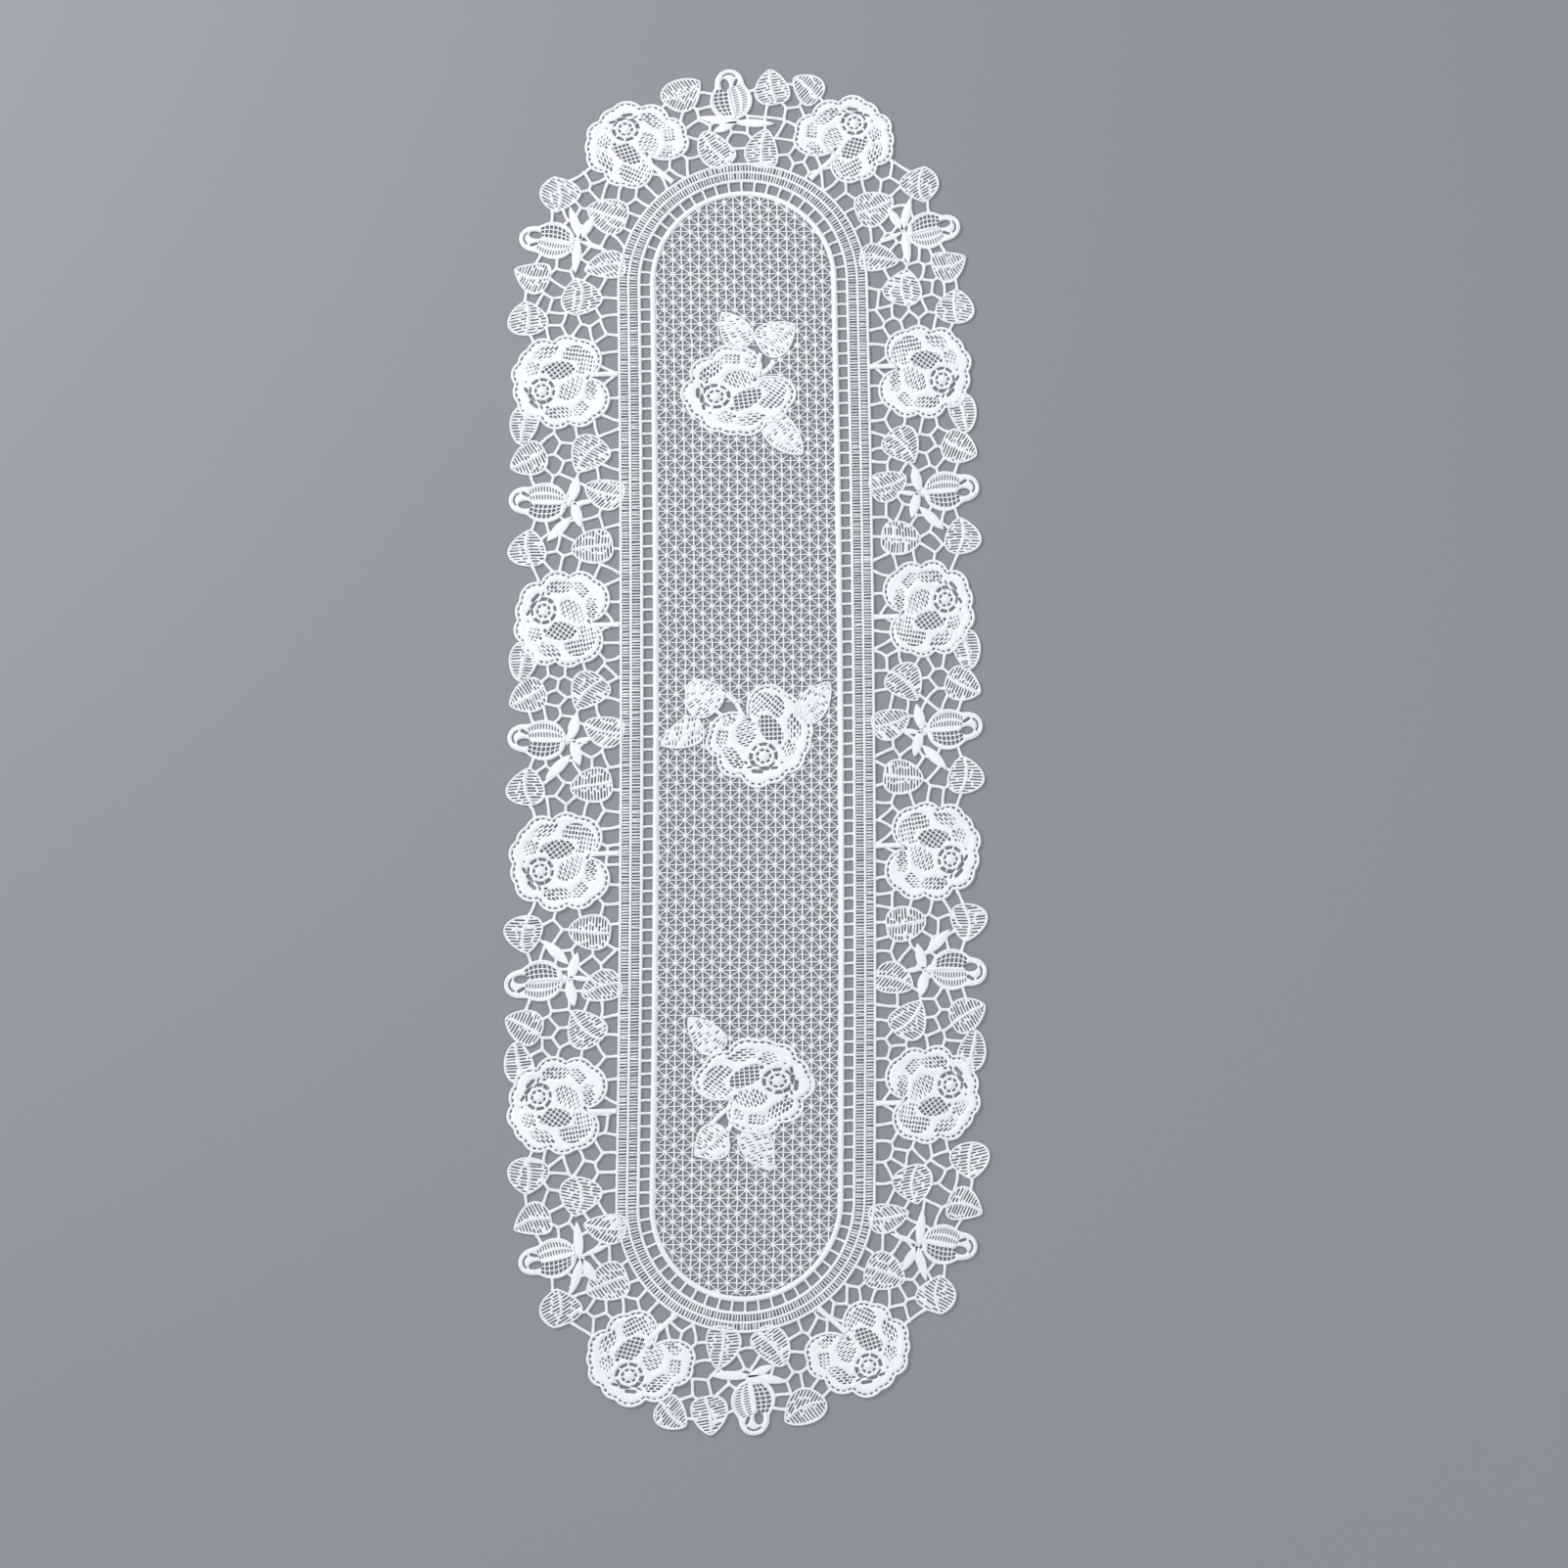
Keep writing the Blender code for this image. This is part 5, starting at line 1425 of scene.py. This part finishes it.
def add_sheet(cloth, shape, template, places):
    points, faces, walls = template
    points = np.column_stack([placed(shape, points[:, :2]), points[:, 2]])
    if np.linalg.det(shape.frame) < 0.0:
        faces, walls, places = faces[:, ::-1], walls[:, ::-1], places[:, ::-1]
    cloth.add(points, [(faces, places), (walls, np.zeros((len(walls), 4, 2)))])


def rose_cloth(roses):
    """Each rose as a sheet from the template of its own notch, with a cord round it."""
    templates = {}
    for shape, cloth in roses:
        notch = shape.size
        if notch not in templates:
            rim = counterclockwise(rose_outline(ROSE_POINTS[1], ROSE_INSET[0], *notch))
            template = sheet(rim, rose_slits(notch), ROSE_STEP, lambda points: rose_height(points, notch))
            templates[notch] = template, rose_map(template[0][:, :2], template[1], notch)
        add_sheet(cloth, shape, *templates[notch])
        path = rose_outline(ROSE_POINTS[0], ROSE_INSET[1], *notch)
        cloth.cord(placed(shape, path), ROSE_CORD, 0.0, CORD, True)


def strip_cords(cloth, strips):
    """Each sepal, full in its middle, and each stem, a little wider at its ends."""
    s = np.linspace(0.0, 1.0, STRIP_POINTS)
    for strip in strips:
        more = SEPAL_REACH * strip.sepal
        path = strip.start + ((1.0 + 2.0 * more) * s[:, None] - more) * (strip.end - strip.start)
        if strip.sepal:
            tip, belly, round_off = SEPAL_CORD
            share = tip + belly * np.sin(math.pi * s) ** round_off
            size = (SEPAL_MORE * strip.wide * share, SEPAL_HIGH)
        else:
            size = (STEM_MORE * strip.wide + STEM_FLARE * (2.0 * s - 1.0) ** 4, STEM_HIGH)
        cloth.cord(path, size, 0.0, FLAT)


def shown(name, data):
    """Puts a mesh, light or camera into the scene."""
    thing = bpy.data.objects.new(name, data)
    bpy.context.scene.collection.objects.link(thing)
    return thing


def make_piece(name, cloth, middle, material):
    """One piece of thread as a smooth mesh, with the map that its twist follows."""
    points = np.concatenate(cloth.points)
    points = np.column_stack([laid(points[:, :2]) - middle, points[:, 2]]) * MM
    faces = [face for part in cloth.faces for face in part.tolist()]
    places = np.concatenate([part.reshape(-1, 2) for part in cloth.maps]).astype(np.float32)
    mesh = bpy.data.meshes.new(name)
    mesh.from_pydata(points, [], faces, shade_flat=False)
    mesh.uv_layers.new(name=THREAD_MAP).uv.foreach_set("vector", places.ravel())
    mesh.materials.append(material)
    piece = shown(name, mesh)
    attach(piece, "root")
    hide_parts("lace_runner")
    return piece


def half_surface(piece):
    """The cloth in a piece's threads without the gaps, as half its mesh's surface, in square metres."""
    areas = np.empty(len(piece.data.polygons), np.float32)
    piece.data.polygons.foreach_get("area", areas)
    return 0.5 * float(areas.sum())


def settings(node, **values):
    """Sets a node's own sockets, whose names have spaces for underscores."""
    for name, value in values.items():
        node.inputs[name.replace("_", " ")].default_value = value
    return node


def new_material(name, **values):
    material = bpy.data.materials.new(name)
    material.use_nodes = True
    return material, settings(material.node_tree.nodes["Principled BSDF"], **values)


def thread_material():
    """White twisted thread: a twist bump along each cord, fine fuzz and a faint sheen."""
    material, shader = new_material("white_thread", Roughness=0.62, Sheen_Weight=0.25, Sheen_Roughness=0.4)
    tree = material.node_tree

    def add(kind, **values):
        return settings(tree.nodes.new("ShaderNode" + kind), **values)

    def join(source, output, node, name):
        tree.links.new(source.outputs[output], node.inputs[name])

    places = add("UVMap")
    places.uv_map = THREAD_MAP
    twist = add("TexWave", Scale=0.55, Distortion=0.6)
    twist.wave_type = "BANDS"
    twist.bands_direction = "DIAGONAL"
    join(places, "UV", twist, "Vector")
    place = add("TexCoord")
    fuzz = add("TexNoise", Scale=2600.0, Detail=2.0)
    join(place, "Object", fuzz, "Vector")
    first = add("Bump", Strength=0.45, Distance=0.00012)
    join(twist, "Fac", first, "Height")
    second = add("Bump", Strength=0.25, Distance=0.00008)
    join(fuzz, "Fac", second, "Height")
    join(first, "Normal", second, "Normal")
    join(second, "Normal", shader, "Normal")
    tone = add("TexNoise", Scale=22.0, Detail=6.0)
    join(place, "Object", tone, "Vector")
    ramp = add("ValToRGB")
    for stop, (position, colour) in zip(ramp.color_ramp.elements, THREAD_TONES):
        stop.position = position
        stop.color = colour
    join(tone, "Fac", ramp, "Fac")
    join(ramp, "Color", shader, "Base Color")
    return material


def aim(thing, place, target, roll=0.0):
    way = Vector(target) - Vector(place)
    turn = way.to_track_quat("-Z", "Y").to_matrix().to_4x4()
    thing.location = place
    thing.rotation_euler = (turn @ Matrix.Rotation(roll, 4, "Z")).to_euler()


def make_camera():
    data = bpy.data.cameras.new("camera")
    data.lens = LENS
    data.sensor_width = SENSOR
    camera = shown("camera", data)
    x, y = LOOK_AT
    place = (x, y - CAMERA_FAR * math.sin(CAMERA_TILT), CAMERA_FAR * math.cos(CAMERA_TILT))
    aim(camera, place, (x, y, 0.0), CAMERA_ROLL)
    bpy.context.scene.camera = camera


def make_light(light):
    data = bpy.data.lights.new(light.name, "AREA")
    data.shape = "DISK"
    data.size = light.size
    data.energy = light.power
    data.color = light.colour
    aim(shown(light.name, data), light.place, (0.0, 0.0, 0.0))


def make_floor():
    mesh = bpy.data.meshes.new("floor")
    half = FLOOR_HALF
    corners = [(-half, -half), (half, -half), (half, half), (-half, half)]
    mesh.from_pydata([(x, y, -FLOOR_GAP) for x, y in corners], [], [(0, 1, 2, 3)])
    mesh.materials.append(new_material("floor", Base_Color=FLOOR_COLOUR, Roughness=FLOOR_ROUGH)[0])
    floor = shown("floor", mesh)


def make_world():
    world = bpy.data.worlds.new("studio")
    world.use_nodes = True
    settings(world.node_tree.nodes["Background"], Color=SKY_COLOUR, Strength=WORLD_LIGHT)
    bpy.context.scene.world = world


def build():
    """All pieces of the runner in one white thread material; the half surface of the net and rails is
    worked out but not kept.
    """
    shapes, strips = layout()
    solids = [outline(shape, ROUGH_POINTS) for shape in shapes]
    runs = bar_runs(shapes, solids + [strip_ring(strip) for strip in strips])
    spread = laid(np.concatenate(solids))
    middle = 0.5 * (spread.min(0) + spread.max(0))
    material = thread_material()
    cloths = {name: Cloth() for name in PIECES}
    ground = Cloth()
    net(ground, cloths["net_stars"], shapes)
    band(ground)
    bar_ground(cloths["edge_bars"], runs)
    strip_cords(cloths["buds_and_stems"], strips)
    rng = np.random.default_rng(LEAF_SEED)
    template, places = bud_template()
    roses = []
    for shape in shapes:
        if isinstance(shape.row, Leaf):
            side = shape.row in SECTION_LEAVES
            leaf(cloths["leaves_of_sides" if side else "leaves_of_ends"], shape, rng)
        elif isinstance(shape.row, Bud):
            bud(cloths["buds_and_stems"], shape, template, places)
        else:
            roses.append((shape, cloths["roses_second" if len(roses) % 2 else "roses_first"]))
    rose_cloth(roses)
    others = [make_piece(name, cloth, middle, material) for name, cloth in cloths.items()]
    whole = make_piece("net_and_rails", ground, middle, material)
    half_surface(whole)


bpy.context.scene.view_settings.view_transform = "Standard"
make_camera()
make_floor()
make_world()
for light in LIGHTS:
    make_light(light)
build()
